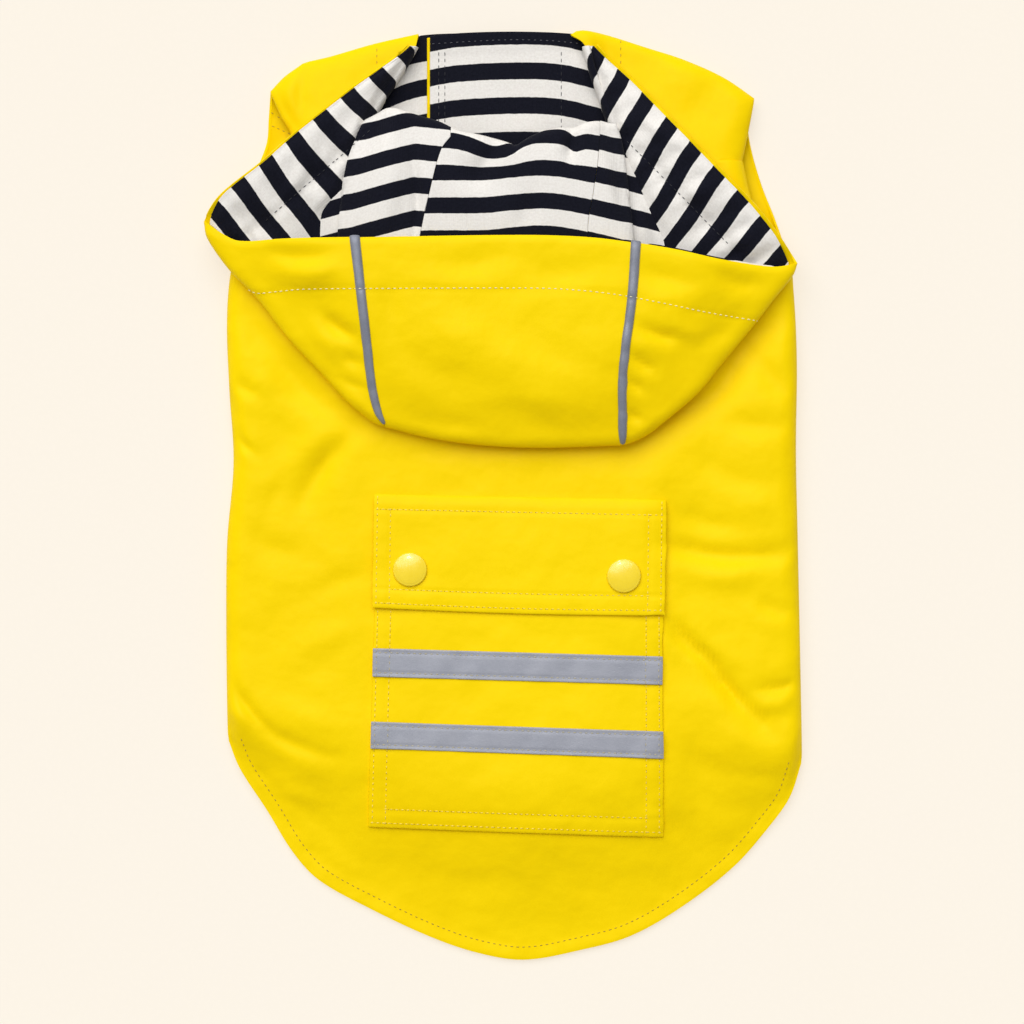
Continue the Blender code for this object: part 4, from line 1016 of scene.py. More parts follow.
ON_BACK = WALL + SEAM
PRESSED, PRESSED_WIDE = 0.32, 0.8  # how deep a line of stitches presses into the cloth, and over what half width
EDGE_DROP, EDGE_REACH = 0.35, 1.4  # how far a sewn edge turns down, and over what reach


def sewn_spot(sewn, f, down):
    """Plan points of a four-sided piece, by shares across and down."""
    top, bottom = sewn.top, sewn.bottom
    x = mix(mix(top.left_x, top.right_x, f), mix(bottom.left_x, bottom.right_x, f), down)
    y = mix(mix(top.left_y, top.right_y, f), mix(bottom.left_y, bottom.right_y, f), down)
    return x, y - sewn.bow * np.sin(math.pi * clamp(f)) * down**2


def sewn_grid(sewn, across, along_it):
    """Shares, plan points and distances from the left, right and lower edges, over a four-sided piece."""
    f, down = np.meshgrid(spaced(sewn.wide, step=across), spaced(sewn.long, step=along_it)[::-1])
    x, y = sewn_spot(sewn, f, down)
    return f, down, x, y, f * sewn.wide, (1 - f) * sewn.wide, (1 - down) * sewn.long


def pressed_by(gaps):
    """Troughs pressed in by lines of stitches, given as distances from each line."""
    total = 0.0
    for gap in gaps:
        total = total - PRESSED * bell(gap, PRESSED_WIDE)
    return total


def pocket_grids():
    _, _, x, y, left, right, low = sewn_grid(POCKET, 1.4, 1.4)
    gaps = [left - a for a in SEWN_IN] + [right - a for a in SEWN_IN] + [low - a for a in POCKET_HEM]
    edge = np.minimum(np.minimum(left, right), low)
    inside = ramp((edge - 7.5) / 20)
    lift = ON_BACK + 0.5 * inside + pressed_by(gaps)
    lift = lift - EDGE_DROP * (1 - roll(edge / EDGE_REACH))
    lift = lift + 0.22 * np.sin(x * 0.16 + y * 0.05) * bell(low - 9, 9) * inside**0.5
    return [(moved_out(back_surface, x, y, lift), stacked(x, y))]


def flap_lift(down):
    """How far the flap stands over the back: it is sewn down along its top, then laps over the pocket."""
    return ON_BACK + (WALL + SEAM) * ramp(down / 0.17) + 0.5 * ramp((down - 0.6) / 0.4)


def flap_grids():
    _, down, x, y, left, right, low = sewn_grid(FLAP, 1.3, 1.2)
    high = down * FLAP.long
    outer, inner = SEWN_IN
    gaps = [left - outer, right - outer, high - FLAP_TOP_LINE, low - FLAP_HEM[0], low - FLAP_HEM[1]]
    gaps += [np.where(high > FLAP_TOP_LINE, side - inner, 99.0) for side in (left, right)]
    edge = np.minimum(np.minimum(left, right), low)
    lift = flap_lift(down) + pressed_by(gaps) - EDGE_DROP * (1 - roll(edge / EDGE_REACH))
    ridge = bell(high - 3.0, 2.4)
    lift = lift + 0.55 * ridge - 0.25 * (1 - roll(high / 1.2))
    lift = lift + 0.3 * np.exp(-(((x - 7) / 46) ** 2) - ((down - 0.55) / 0.3) ** 2)
    for cx, cy in SNAPS.values():
        lift = lift - 0.35 * bell(np.hypot(x - cx, y - cy), 13)
    return [(moved_out(back_surface, x, y, lift), stacked(x, y))]


def tape_grids(tape):
    _, down, x, y, left, right, _ = sewn_grid(tape, 1.6, 0.8)
    edge = np.minimum(down, 1 - down) * tape.long
    lift = 2 * ON_BACK - 0.35 + 0.25 * ramp((left - 7) / 20) * ramp((right - 7) / 20)
    lift = lift - 0.16 * bell(edge - 1.8, 0.6)
    lift = lift + 0.10 * np.sin(x * 0.33 + down * 3) * np.sin(x * 0.071)
    return [(moved_out(back_surface, x, y, lift), stacked(x - x.mean(), y - y.mean()))]


def piping_grids(piping):
    """A strip of piping that stands up along its middle, narrow and low where it begins."""
    across = np.linspace(-0.5, 0.5, 9)
    f, t = np.meshgrid(across, spaced(82, step=1.2, near=6))
    begun = roll(t * 12)
    y = mix(piping.low, piping.high, t)
    wide = along(piping.widths, y) * mix(0.3, 1.0, begun)
    x = along(piping.line, y) + wide * f
    crown = 0.8 * np.sqrt(np.maximum(1 - (2 * f) ** 2, 0.0))
    return [(moved_out(upper_shaped, x, y, 0.85 + crown * mix(0.4, 1.0, begun)), stacked(f * wide, y))]


# ---------------------------------------------------------------- materials


class Wires:
    """Adds nodes to a tree. Each input takes a plain value or another node's output."""

    def __init__(self, tree):
        self.nodes, self.links = tree.nodes, tree.links

    def feed(self, sockets, values):
        for title, value in values.items():
            if isinstance(value, bpy.types.NodeSocket):
                self.links.new(value, sockets[title])
            else:
                sockets[title].default_value = value

    def add(self, kind, inputs=None, **settings):
        """A node's outputs, once its settings are made and its inputs are fed, by name or number."""
        node = self.nodes.new(kind)
        for name, value in settings.items():
            setattr(node, name, value)
        self.feed(node.inputs, inputs or {})
        return node.outputs

    def maths(self, kind, *values):
        return self.add("ShaderNodeMath", dict(enumerate(values)), operation=kind)[0]

    def total(self, *rows):
        """The sum of values that vary over the surface, each times a number."""
        made = 0.0
        for value, times in rows:
            made = self.maths("MULTIPLY_ADD", value, times, made)
        return made

    def noise(self, vector, scale, detail=3.0, rough=0.55):
        inputs = {"Vector": vector, "Scale": scale, "Detail": detail, "Roughness": rough}
        return self.add("ShaderNodeTexNoise", inputs)["Fac"]

    def position(self):
        return self.add("ShaderNodeTexCoord")["Object"]

    def apart(self, vector):
        return self.add("ShaderNodeSeparateXYZ", {0: vector})

    def group(self, group, inputs):
        return self.add("ShaderNodeGroup", inputs, node_tree=group)

    def tones(self, factor, first, second, at=0.3):
        """A colour between two, which are reached at a share and at one less that share."""
        made = self.nodes.new("ShaderNodeValToRGB")
        for element, place, colour in zip(made.color_ramp.elements, (at, 1 - at), (first, second)):
            element.position = place
            element.color = (*colour, 1)
        self.links.new(factor, made.inputs["Fac"])
        return made.outputs["Color"]

    def bump(self, height, strength=1.0):
        return self.add("ShaderNodeBump", {"Strength": strength, "Distance": 1.0, "Height": height})["Normal"]


def node_group(name, inputs, outputs):
    """A shader group, its wires, and its inputs and outputs as met inside it. An input of None is a vector."""
    group = bpy.data.node_groups.new(name, "ShaderNodeTree")
    for title, value in inputs.items():
        kind = "NodeSocketVector" if value is None else "NodeSocketFloat"
        socket = group.interface.new_socket(title, in_out="INPUT", socket_type=kind)
        if value is not None:
            socket.default_value = value
    for title in outputs:
        group.interface.new_socket(title, in_out="OUTPUT", socket_type="NodeSocketFloat")
    wires = Wires(group)
    return group, wires, wires.add("NodeGroupInput"), group.nodes.new("NodeGroupOutput").inputs


def coated_grain_group():
    """Fine pebbled grain of a coated cloth, its soft rumples, and its slow change of tone."""
    inputs = {"Position": None, "Grain Size": 1.0, "Rumple": 1.0}
    group, wires, given, out = node_group("coated_grain", inputs, ("Height", "Tone", "Speck"))
    place = given["Position"]
    pebble = wires.noise(place, wires.maths("DIVIDE", 1400.0, given["Grain Size"]), 2.0)
    weave = wires.noise(place, 420.0)
    large = wires.maths("MULTIPLY", wires.noise(place, 26.0, 2.0, 0.4), given["Rumple"])
    small = wires.maths("MULTIPLY", wires.noise(place, 75.0, 2.0, 0.45), given["Rumple"])
    height = wires.total((pebble, 0.00003), (weave, 0.00004), (large, 0.0032), (small, 0.0008))
    wires.feed(out, {"Height": height, "Tone": wires.noise(place, 9.0, 2.0, 0.5), "Speck": weave})
    return group


def knit_group():
    """Ribs and loops of a fine jersey, from cloth coordinates."""
    group, wires, given, out = node_group("fine_jersey", {"Cloth": None, "Gauge": 1.0}, ("Height", "Fuzz"))
    cloth = wires.apart(given["Cloth"])
    ribs = wires.maths("SINE", wires.maths("MULTIPLY", cloth["X"], 2 * math.pi / RIB_PITCH))
    loops = wires.maths("SINE", wires.maths("MULTIPLY", cloth["Y"], 2 * math.pi / LOOP_PITCH))
    fuzz = wires.noise(given["Cloth"], 900.0, 3.0, 0.7)
    slub = wires.noise(given["Cloth"], 130.0, 2.0, 0.5)
    height = wires.total((ribs, 0.00003), (loops, 0.00002), (fuzz, 0.00008), (slub, 0.00022))
    wires.feed(out, {"Height": wires.maths("MULTIPLY", height, given["Gauge"]), "Fuzz": fuzz})
    return group


def beads_group():
    """Glass beads of a reflective cloth, and its cloudy tone."""
    group, wires, given, out = node_group("glass_beads", {"Position": None}, ("Tone", "Cloud", "Height"))
    bead = wires.add("ShaderNodeTexVoronoi", {"Vector": given["Position"], "Scale": 3200.0})["Distance"]
    cloud = wires.noise(given["Position"], 160.0)
    tone, height = wires.total((cloud, 0.7), (bead, 0.5)), wires.total((bead, -0.00004), (cloud, 0.0001))
    wires.feed(out, {"Tone": tone, "Cloud": cloud, "Height": height})
    return group


def fine_grain_group():
    """A fine even grain, for threads and moulded caps."""
    inputs = {"Position": None, "Scale": 600.0, "Depth": 0.00003}
    group, wires, given, out = node_group("fine_grain", inputs, ("Grain", "Height"))
    grain = wires.noise(given["Position"], given["Scale"])
    wires.feed(out, {"Grain": grain, "Height": wires.maths("MULTIPLY", grain, given["Depth"])})
    return group


def new_material(name, roughness):
    """A material, its shader's inputs, and the wires of its tree."""
    made = bpy.data.materials.new(name)
    made.use_nodes = True
    shader = made.node_tree.nodes["Principled BSDF"].inputs
    shader["Roughness"].default_value = roughness
    return made, shader, Wires(made.node_tree)


def coated_cloth(name, first, second):
    made, shader, wires = new_material(name, 0.46)
    grain = wires.group(COATED_GRAIN, {"Position": wires.position(), "Rumple": 1.0})
    tone = wires.total((grain["Tone"], 0.75), (grain["Speck"], 0.25))
    wires.feed(shader, {
        "Base Color": wires.tones(tone, first, second),
        "Roughness": wires.maths("MULTIPLY_ADD", grain["Speck"], 0.16, 0.38),
        "Specular IOR Level": 0.05,
        "Normal": wires.bump(grain["Height"]),
    })
    return made


def striped_jersey(name, white, navy):
    """Jersey with even stripes along its cloth coordinates. White and navy each have a darker and a lighter tone."""
    made, shader, wires = new_material(name, 0.9)
    cloth = wires.add("ShaderNodeUVMap", uv_map="cloth")["UV"]
    knit = wires.group(KNIT, {"Cloth": cloth})
    pitches = wires.maths("MULTIPLY", wires.apart(cloth)["Y"], 1000.0 / STRIPE_PITCH)
    pitches = wires.maths("MULTIPLY_ADD", wires.noise(cloth, 260.0, 2.0), 0.035, pitches)
    turn = wires.maths("FRACT", wires.maths("ADD", pitches, 0.4825))
    from_middle = wires.maths("ABSOLUTE", wires.maths("SUBTRACT", turn, 0.5))
    pick = wires.add("ShaderNodeMapRange", {"From Min": 0.236, "From Max": 0.250, "Value": from_middle})["Result"]
    pair = {"Factor": pick, "A": wires.tones(knit["Fuzz"], *navy), "B": wires.tones(knit["Fuzz"], *white)}
    wires.feed(shader, {
        "Base Color": wires.add("ShaderNodeMix", pair, data_type="RGBA")["Result"],
        "Sheen Weight": 0.04,
        "Sheen Roughness": 0.5,
        "Specular IOR Level": 0.1,
        "Normal": wires.bump(knit["Height"], 0.8),
    })
    return made


def reflective_cloth(name, middle, edge_tint):
    made, shader, wires = new_material(name, 0.42)
    beads = wires.group(BEADS, {"Position": wires.position()})
    wires.feed(shader, {
        "Base Color": wires.tones(beads["Tone"], edge_tint, middle, 0.25),
        "Metallic": 0.15,
        "Roughness": wires.maths("MULTIPLY_ADD", beads["Cloud"], 0.2, 0.34),
        "Normal": wires.bump(beads["Height"]),
    })
    return made


def plain_finish(name, first, second, roughness, scale=2400.0, depth=0.00003, coat=0.0):
    made, shader, wires = new_material(name, roughness)
    grain = wires.group(FINE_GRAIN, {"Position": wires.position(), "Scale": scale, "Depth": depth})
    wires.feed(shader, {
        "Base Color": wires.tones(grain["Grain"], first, second),
        "Coat Weight": coat,
        "Coat Roughness": 0.08,
        "Roughness": wires.maths("MULTIPLY_ADD", grain["Grain"], 0.1, roughness - 0.05),
        "Normal": wires.bump(grain["Height"]),
    })
    return made


# ---------------------------------------------------------------- stitches


def stitch_tree():
    """Short stitches along every line of a curve, each a small rounded thread."""
    tree = bpy.data.node_groups.new("stitch_line", "GeometryNodeTree")
    kinds = {"Lines": "Geometry", "Pitch": "Float", "Stitch Length": "Float", "Thread Width": "Float",
             "Thread": "Material", "Seed": "Int"}
    for title, kind in kinds.items():
        tree.interface.new_socket(title, in_out="INPUT", socket_type="NodeSocket" + kind)
    tree.interface.new_socket("Stitches", in_out="OUTPUT", socket_type="NodeSocketGeometry")
    wires = Wires(tree)
    given = wires.add("NodeGroupInput")
    even = {"Curve": given["Lines"], "Length": given["Pitch"]}
    thread = wires.add("GeometryNodeMeshUVSphere", {"Segments": 6, "Rings": 4, "Radius": 0.5})
    turn = wires.add("FunctionNodeAlignEulerToVector", {"Vector": wires.add("GeometryNodeInputTangent")[0]}, axis="X")
    uneven = wires.add("FunctionNodeRandomValue", {2: 0.86, 3: 1.1, "Seed": given["Seed"]})[1]
    length = wires.maths("MULTIPLY", given["Stitch Length"], uneven)
    size = wires.add("ShaderNodeCombineXYZ", {"X": length, "Y": given["Thread Width"], "Z": given["Thread Width"]})
    put = wires.add("GeometryNodeInstanceOnPoints", {
        "Points": wires.add("GeometryNodeResampleCurve", even, mode="LENGTH")["Curve"],
        "Instance": thread["Mesh"],
        "Rotation": turn["Rotation"],
        "Scale": size["Vector"],
    })
    real = wires.add("GeometryNodeRealizeInstances", {"Geometry": put["Instances"]})["Geometry"]
    paint = wires.add("GeometryNodeSetMaterial", {"Geometry": real, "Material": given["Thread"]})["Geometry"]
    wires.feed(tree.nodes.new("NodeGroupOutput").inputs, {"Stitches": paint})
    return tree


def stitch_piece(name, lines, thread, pitch, length, width, seed, offset=0.0):
    """Stitches along lines of points. offset moves the first stitch along by a share of the pitch."""
    curve = bpy.data.curves.new(name + "_lines", "CURVE")
    curve.dimensions = "3D"
    for line in lines:
        points = in_frame(line)
        if offset:
            points = points.copy()
            points[0] += (points[1] - points[0]) / np.linalg.norm(points[1] - points[0]) * offset * pitch * 0.001
        spline = curve.splines.new("POLY")
        spline.points.add(len(points) - 1)
        spline.points.foreach_set("co", np.c_[points, np.ones(len(points))].astype(np.float32).ravel())
    holder = bpy.data.objects.new(name + "_lines", curve)
    bpy.context.scene.collection.objects.link(holder)
    made = holder.modifiers.new("Stitches", "NODES")
    made.node_group = STITCH_TREE
    values = {"Pitch": pitch * 0.001, "Stitch Length": length * 0.001, "Thread Width": width * 0.001,
              "Thread": thread, "Seed": seed}
    for item in STITCH_TREE.interface.items_tree:
        if item.in_out == "INPUT" and item.name in values:
            made[item.identifier] = values[item.name]
    graph = bpy.context.evaluated_depsgraph_get()
    graph.update()
    mesh = bpy.data.meshes.new_from_object(holder.evaluated_get(graph), depsgraph=graph)
    mesh.shade_smooth()
    bpy.data.objects.remove(holder)
    piece = bpy.data.objects.new(name, mesh)
    bpy.context.scene.collection.objects.link(piece)
    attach(piece, "root")


# ---------------------------------------------------------------- build

SHIFT = plan_shift()
COATED_GRAIN = coated_grain_group()
KNIT = knit_group()
BEADS = beads_group()
FINE_GRAIN = fine_grain_group()
STITCH_TREE = stitch_tree()

YELLOW_CLOTH = coated_cloth("yellow_coated_cloth", (0.955, 0.668, 0.0004), (0.985, 0.715, 0.0008))
STRIPED = striped_jersey(
    "navy_and_white_jersey",
    white=((0.79, 0.755, 0.71), (0.90, 0.875, 0.835)), navy=((0.004, 0.0045, 0.010), (0.0085, 0.009, 0.017)),
)
TAPE_GREY = reflective_cloth("reflective_tape_grey", (0.335, 0.346, 0.398), (0.262, 0.276, 0.328))
PIPING_GREY = reflective_cloth("reflective_piping_grey", (0.245, 0.26, 0.315), (0.16, 0.175, 0.225))
SNAP_FINISH = plain_finish("snap_gloss", (0.95, 0.70, 0.020), (0.98, 0.73, 0.026), 0.22, 300.0, 0.000003, coat=0.3)
CREAM_THREAD = plain_finish("cream_thread", (0.92, 0.70, 0.09), (0.95, 0.77, 0.17), 0.7)
PALE_THREAD = plain_finish("pale_thread", (0.90, 0.80, 0.46), (0.95, 0.88, 0.62), 0.7)
# Brown thread of the tail's hem, which also paints the shade of the needle holes in the hood's hem
BROWN_THREAD_AND_HOLE_SHADE = plain_finish("brown_thread", (0.30, 0.20, 0.02), (0.42, 0.29, 0.03), 0.7)
# Olive thread, which also paints the shade of the needle holes between the pocket's and the flap's stitches
OLIVE_THREAD_AND_HOLE_SHADE = plain_finish("olive_thread", (0.42, 0.28, 0.01), (0.56, 0.38, 0.02), 0.7)
BLACK_THREAD = plain_finish("black_thread", (0.012, 0.012, 0.016), (0.03, 0.03, 0.036), 0.8)
TAPE_THREAD = plain_finish("tape_thread", (0.42, 0.37, 0.22), (0.60, 0.54, 0.36), 0.8)
GREY_THREAD = plain_finish("grey_thread", (0.07, 0.07, 0.085), (0.14, 0.14, 0.155), 0.8)

# What each kind of cloth is made of: its material, its wall in millimetres and its slot
Kind = namedtuple("Kind", "material wall slot")
COATED = Kind(YELLOW_CLOTH, 1.1, "coated_cloth")
POCKET_CLOTH = Kind(YELLOW_CLOTH, 1.0, "coated_cloth")
JERSEY = Kind(STRIPED, 0.9, "striped_jersey")
TAPE = Kind(TAPE_GREY, 0.5, "reflective_tape")
CORDED = Kind(PIPING_GREY, 0.6, "reflective_tape")


def laid(name, grids, kind):
    """A piece of cloth: its middle surface, thickened, its cut edges rounded."""
    piece = bpy.data.objects.new(name + "_cloth", mesh_from_grids(name + "_cloth", grids))
    piece.data.materials.append(kind.material)
    PIECES[name] = piece
    bpy.context.scene.collection.objects.link(piece)
    thick = piece.modifiers.new("Wall", "SOLIDIFY")
    thick.thickness = kind.wall * 0.001
    thick.offset = 0
    thick.use_even_offset = False
    thick.use_quality_normals = True
    edge = piece.modifiers.new("Edge", "BEVEL")
    edge.width = kind.wall * EDGE_ROUND * 0.001
    edge.segments = 2
    edge.limit_method = "ANGLE"
    edge.angle_limit = math.radians(EDGE_ANGLE)
    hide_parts(name)
    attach(piece, "root")


laid("back", back_grids(), COATED)
laid("front_left", front_grids(True), COATED)
laid("front_right", front_grids(False), COATED)
laid("neck_lining_left", neck_lining_left_grids(), JERSEY)
laid("neck_lining_right", neck_lining_right_grids(), JERSEY)
laid("hood_centre", hood_centre_grids(), COATED)
laid("hood_lining_centre", lining_centre_grids(), JERSEY)
for hood_side in (HOOD_LEFT, HOOD_RIGHT):
    shell, lined = f"hood_{hood_side.name}", f"hood_lining_{hood_side.name}"
    laid(shell, hood_side_grids(hood_side), COATED)
    laid(lined, lining_side_grids(hood_side), JERSEY)
laid("pocket", pocket_grids(), POCKET_CLOTH)
laid("pocket_flap", flap_grids(), COATED)
for tape_name, tape in TAPES.items():
    laid(tape_name, tape_grids(tape), TAPE)
for piping_name, piping in PIPINGS.items():
    laid(piping_name, piping_grids(piping), CORDED)


def snap_piece(name, x, y):
    """A snap's cap: a low dome with a thin raised rim, on a short skirt."""
    profile = (
        (0.0, 2.0), (1.6, 1.97), (3.2, 1.88), (4.6, 1.74), (5.8, 1.55), (6.45, 1.40), (6.65, 1.30), (6.85, 1.34),
        (7.1, 1.25), (7.35, 0.98), (7.5, 0.6), (7.45, 0.1), (0.0, 0.1),
    )
    bm = bmesh.new()
    points = [bm.verts.new((r * 0.001, 0, z * 0.001)) for r, z in profile]
    edges = [bm.edges.new(pair) for pair in zip(points, points[1:])]
    bmesh.ops.spin(
        bm, geom=points + edges, cent=(0, 0, 0), axis=(0, 0, 1), angle=2 * math.pi, steps=64, use_merge=True
    )
    bmesh.ops.remove_doubles(bm, verts=bm.verts, dist=0.000001)
    bmesh.ops.recalc_face_normals(bm, faces=bm.faces)
    base = moved_out(back_surface, np.array(x), np.array(y), flap_lift(0.66) + 0.55)
    step = 4.0
    slope_x = float(back_surface(x + step, y) - back_surface(x - step, y)) / (2 * step)
    slope_y = float(back_surface(x, y + step) - back_surface(x, y - step)) / (2 * step)
    tilt = Vector((0, 0, 1)).rotation_difference(Vector((-slope_x, -slope_y, 1)).normalized())
    place = Vector(in_frame(base))
    for v in bm.verts:
        v.co = tilt @ v.co + place
    mesh = bpy.data.meshes.new(name)
    bm.to_mesh(mesh)
    bm.free()
    mesh.shade_smooth()
    mesh.materials.append(SNAP_FINISH)
    piece = bpy.data.objects.new(name + "_cap", mesh)
    bpy.context.scene.collection.objects.link(piece)
    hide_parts(name)
    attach(piece, "root")


for snap_name, snap_centre in SNAPS.items():
    snap_piece(snap_name, *snap_centre)


# ---------------------------------------------------------------- stitch lines


def drop_on(piece_names, x, y, out):
    """Puts plan points on the top of finished pieces, straight down."""
    graph = bpy.context.evaluated_depsgraph_get()
    pieces = [PIECES[name].evaluated_get(graph) for name in piece_names]
    spots = []
    for px, py in zip(x, y):
        start = Vector(in_frame((px, py, 80.0)))
        hits = [piece.ray_cast(start, Vector((0, 0, -1))) for piece in pieces]
        heights = [place.z for hit, place, _, _ in hits if hit]
        if heights:
            spots.append((px, py, max(heights) * 1000 + out))
    return np.array(spots)


def run_between(piece_name, a, b, out, step=1.0):
    """A straight line of points on a piece."""
    share = np.linspace(0, 1, max(2, int(math.hypot(b[0] - a[0], b[1] - a[1]) / step)) + 1)
    return drop_on([piece_name], mix(a[0], b[0], share), mix(a[1], b[1], share), out)


def sewn_lines(piece_name, sewn, spans, out):
    """Lines on a four-sided piece, each from one (in from the left, down from the top) to another."""
    lines = []
    share = np.linspace(0, 1, 60)
    for a, b in spans:
        x, y = sewn_spot(sewn, mix(a[0], b[0], share) / sewn.wide, mix(a[1], b[1], share) / sewn.long)
        lines.append(drop_on([piece_name], x, y, out))
    return lines


def twin_spans(sewn, tops, hem):
    """Two lines of stitches down each side, from a height each, and two along the lower edge."""
    wide, long = sewn.wide, sewn.long
    spans = [((a, top), (a, long - hem[0])) for inset, top in zip(SEWN_IN, tops) for a in (inset, wide - inset)]
    return spans + [((inset, long - up), (wide - inset, long - up)) for inset, up in zip(SEWN_IN, hem)]


def hem_line():
    """The line of stitches inside the tail's hem."""
    outline = path(*HEM_OUTLINE)(np.linspace(0, 1, 240))
    along_hem = np.gradient(outline, axis=0)
    square = np.stack([-along_hem[:, 1], along_hem[:, 0]], axis=1)
    square /= np.linalg.norm(square, axis=1, keepdims=True)
    line = (outline + square * (HEM_WIDE - HEM_STITCH_OUT))[1:-1]
    return drop_on(["back"], line[:, 0], line[:, 1], 0.03)


def tape_spans(tape):
    """Lines of stitches along a tape's two edges, and two across each of its ends."""
    wide, long = tape.wide, tape.long
    spans = [((0.6, a), (wide - 0.6, a)) for a in (1.8, long - 1.8)]
    return spans + [((a, 0.8), (a, long - 0.8)) for a in (1.6, 7.4, wide - 7.4, wide - 1.6)]


def cheek_line(hood, first, last):
    """The line of stitches in from a cheek's opening edge."""
    turn = math.radians(hood.edge_turn)
    run = np.linspace(first, last, 60)
    x = hood.edge_at[0] + run * math.cos(turn) + CHEEK_HEM * math.sin(turn)
    y = hood.edge_at[1] + run * math.sin(turn) - CHEEK_HEM * math.cos(turn)
    return drop_on([f"hood_lining_{hood.name}"], x, y, 0.05)


stitch_piece("hem_stitches", [hem_line()], BROWN_THREAD_AND_HOLE_SHADE, 2.6, 1.4, 0.42, 1)

pocket_lines = sewn_lines("pocket", POCKET, twin_spans(POCKET, (42, 42), POCKET_HEM), 0.06)
top_line = ((SEWN_IN[0], FLAP_TOP_LINE), (FLAP.wide - SEWN_IN[0], FLAP_TOP_LINE))
flap_spans = [top_line, *twin_spans(FLAP, (1.0, FLAP_TOP_LINE), FLAP_HEM)]
flap_lines = sewn_lines("pocket_flap", FLAP, flap_spans, 0.06)
for sewn_name, sewn_rows, seed in (("pocket", pocket_lines, 2), ("flap", flap_lines, 3)):
    stitch_piece(sewn_name + "_stitches", sewn_rows, CREAM_THREAD, 2.5, 1.4, 0.4, seed)
    # Painted shade: small dark olive blobs between the stitches stand for the shade in the needle holes
    stitch_piece(sewn_name + "_holes", sewn_rows, OLIVE_THREAD_AND_HOLE_SHADE, 2.5, 0.6, 0.4, seed, 0.5)
for tape_name, tape in TAPES.items():
    tape_lines = sewn_lines(tape_name, tape, tape_spans(tape), 0.05)
    stitch_piece(tape_name + "_stitches", tape_lines, TAPE_THREAD, 2.5, 1.4, 0.42, 4)

hood_x = np.linspace(-115.2, 111.4, 190)
over_seams = ("hood_left", "hood_centre", "hood_right", "piping_left", "piping_right")
hood_line = drop_on(over_seams, hood_x, along(HOOD_STITCH_Y, hood_x), 0.03)
stitch_piece("hood_hem_stitches", [hood_line], PALE_THREAD, 2.6, 1.55, 0.44, 5)
# Painted shade: small dark brown blobs between the hood hem's stitches stand for the shade in the needle holes
stitch_piece("hood_hem_holes", [hood_line], BROWN_THREAD_AND_HOLE_SHADE, 2.6, 0.45, 0.3, 5, 0.5)

for hood_side, first, last, seed in ((HOOD_LEFT, -32, 27, 8), (HOOD_RIGHT, -22, 40, 9)):
    line = cheek_line(hood_side, first, last)
    stitch_piece(f"cheek_stitches_{hood_side.name}", [line], BLACK_THREAD, 2.8, 1.9, 0.42, seed)

neck_seams = [run_between("neck_lining_right", (x, 195.5), (x, 160), 0.05, 2.0) for x in (-28.6, -25.9, 25.5)]
stitch_piece("neck_seam_stitches", neck_seams, BLACK_THREAD, 2.8, 2.0, 0.36, 10)
top_x = np.linspace(-31, 35, 50)
top_y = along(((-33, 199.8), (0, 201.6), (20, 201.3), (36, 199.8)), top_x)
neck_hem = drop_on(["neck_lining_right"], top_x, top_y, 0.04)
stitch_piece("neck_hem_stitches", [neck_hem], GREY_THREAD, 2.6, 1.2, 0.34, 11)
shoulder_lines = [
    run_between("back", (-55.9, 197), (-55.9, 191.6), 0.04),
    run_between("back", (51.7, 200.5), (51.7, 191.6), 0.04),
]
stitch_piece("shoulder_stitches", shoulder_lines, OLIVE_THREAD_AND_HOLE_SHADE, 2.6, 1.7, 0.4, 12)
leg_lines = [
    run_between("front_left", (-102.3, 169.5), (-96.8, 166), 0.04),
    run_between("front_left", (-101.9, 163.7), (-95, 160.6), 0.04),
]
stitch_piece("leg_stitches", leg_lines, OLIVE_THREAD_AND_HOLE_SHADE, 2.4, 1.5, 0.4, 13)

# ---------------------------------------------------------------- floor, light and camera


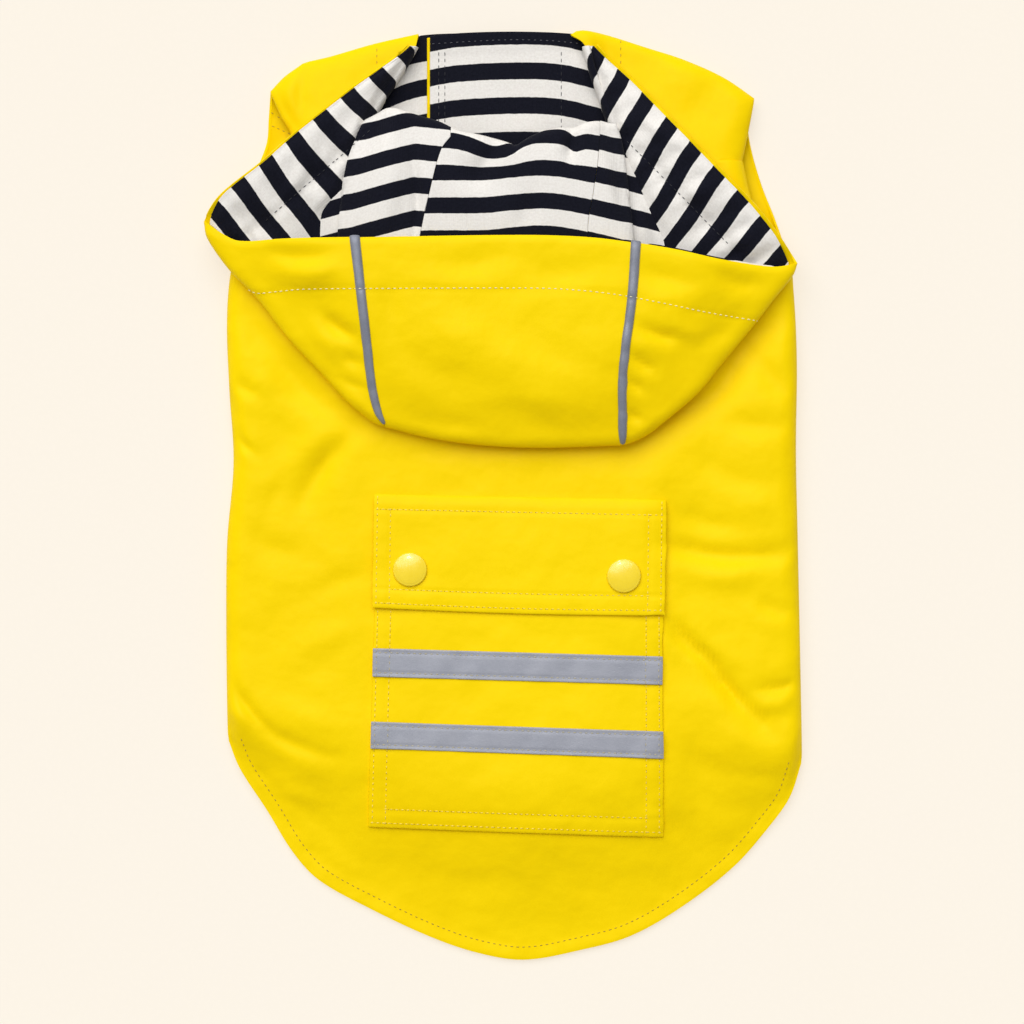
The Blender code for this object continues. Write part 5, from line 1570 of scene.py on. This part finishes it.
def build_stage():
    bpy.ops.mesh.primitive_plane_add(size=6.0, location=(0, 0, 0))
    floor = bpy.context.active_object
    floor.name = "floor"
    made, shader, wires = new_material("pale_floor", 0.9)
    paper = wires.noise(wires.position(), 400.0)
    wires.feed(shader, {
        "Base Color": wires.tones(paper, (0.300, 0.278, 0.243), (0.308, 0.285, 0.250)),
        "Specular IOR Level": 0.0,
        "Emission Color": (0.975, 0.907, 0.802, 1),
        "Emission Strength": 0.692,
    })
    floor.data.materials.append(made)


def lamp_along(data, toward, location=(0, 0, 0)):
    """Hangs a lamp that shines from this direction."""
    lamp = bpy.data.objects.new(data.name, data)
    lamp.location = location
    lamp.rotation_euler = (-Vector(toward)).to_track_quat("-Z", "Y").to_euler()
    bpy.context.scene.collection.objects.link(lamp)
    return lamp


def build_light():
    """A broad soft sun, pale light from all round, and a lamp that only shines in what is glossy."""
    world = bpy.data.worlds.new("studio")
    world.use_nodes = True
    sky = world.node_tree.nodes["Background"]
    sky.inputs["Color"].default_value = (1.0, 1.0, 1.0, 1)
    sky.inputs["Strength"].default_value = 0.35
    bpy.context.scene.world = world
    key = bpy.data.lights.new("key", "SUN")
    key.energy = 2.60
    key.angle = math.radians(62)
    key.color = (1.0, 0.995, 0.985)
    lamp_along(key, (-0.22, 0.68, 1.0))
    glint = bpy.data.lights.new("glint", "AREA")
    glint.shape, glint.size, glint.size_y = "RECTANGLE", 0.16, 0.30
    glint.energy = 3.2
    lamp_along(glint, (-0.09, 0.58, 1.44), (-0.14, 0.55, 1.45)).visible_diffuse = False
    bpy.context.scene.view_settings.view_transform = "Standard"
    bpy.context.scene.view_settings.look = "None"


def build_camera():
    """Looks straight down on the middle of the coat, from as far as its long lens needs."""
    data = bpy.data.cameras.new("camera")
    data.sensor_width = 36.0
    data.lens = 200.0
    data.clip_start = 0.1
    data.clip_end = 20.0
    camera = bpy.data.objects.new("camera", data)
    x, y, _ = in_frame((3.74, -6.82, 0.0))
    camera.location = (x, y, VIEW_HEIGHT + VIEW_ACROSS * data.lens / data.sensor_width)
    camera.rotation_euler = (0, 0, 0)
    bpy.context.scene.collection.objects.link(camera)
    bpy.context.scene.camera = camera


build_stage()
build_light()
build_camera()
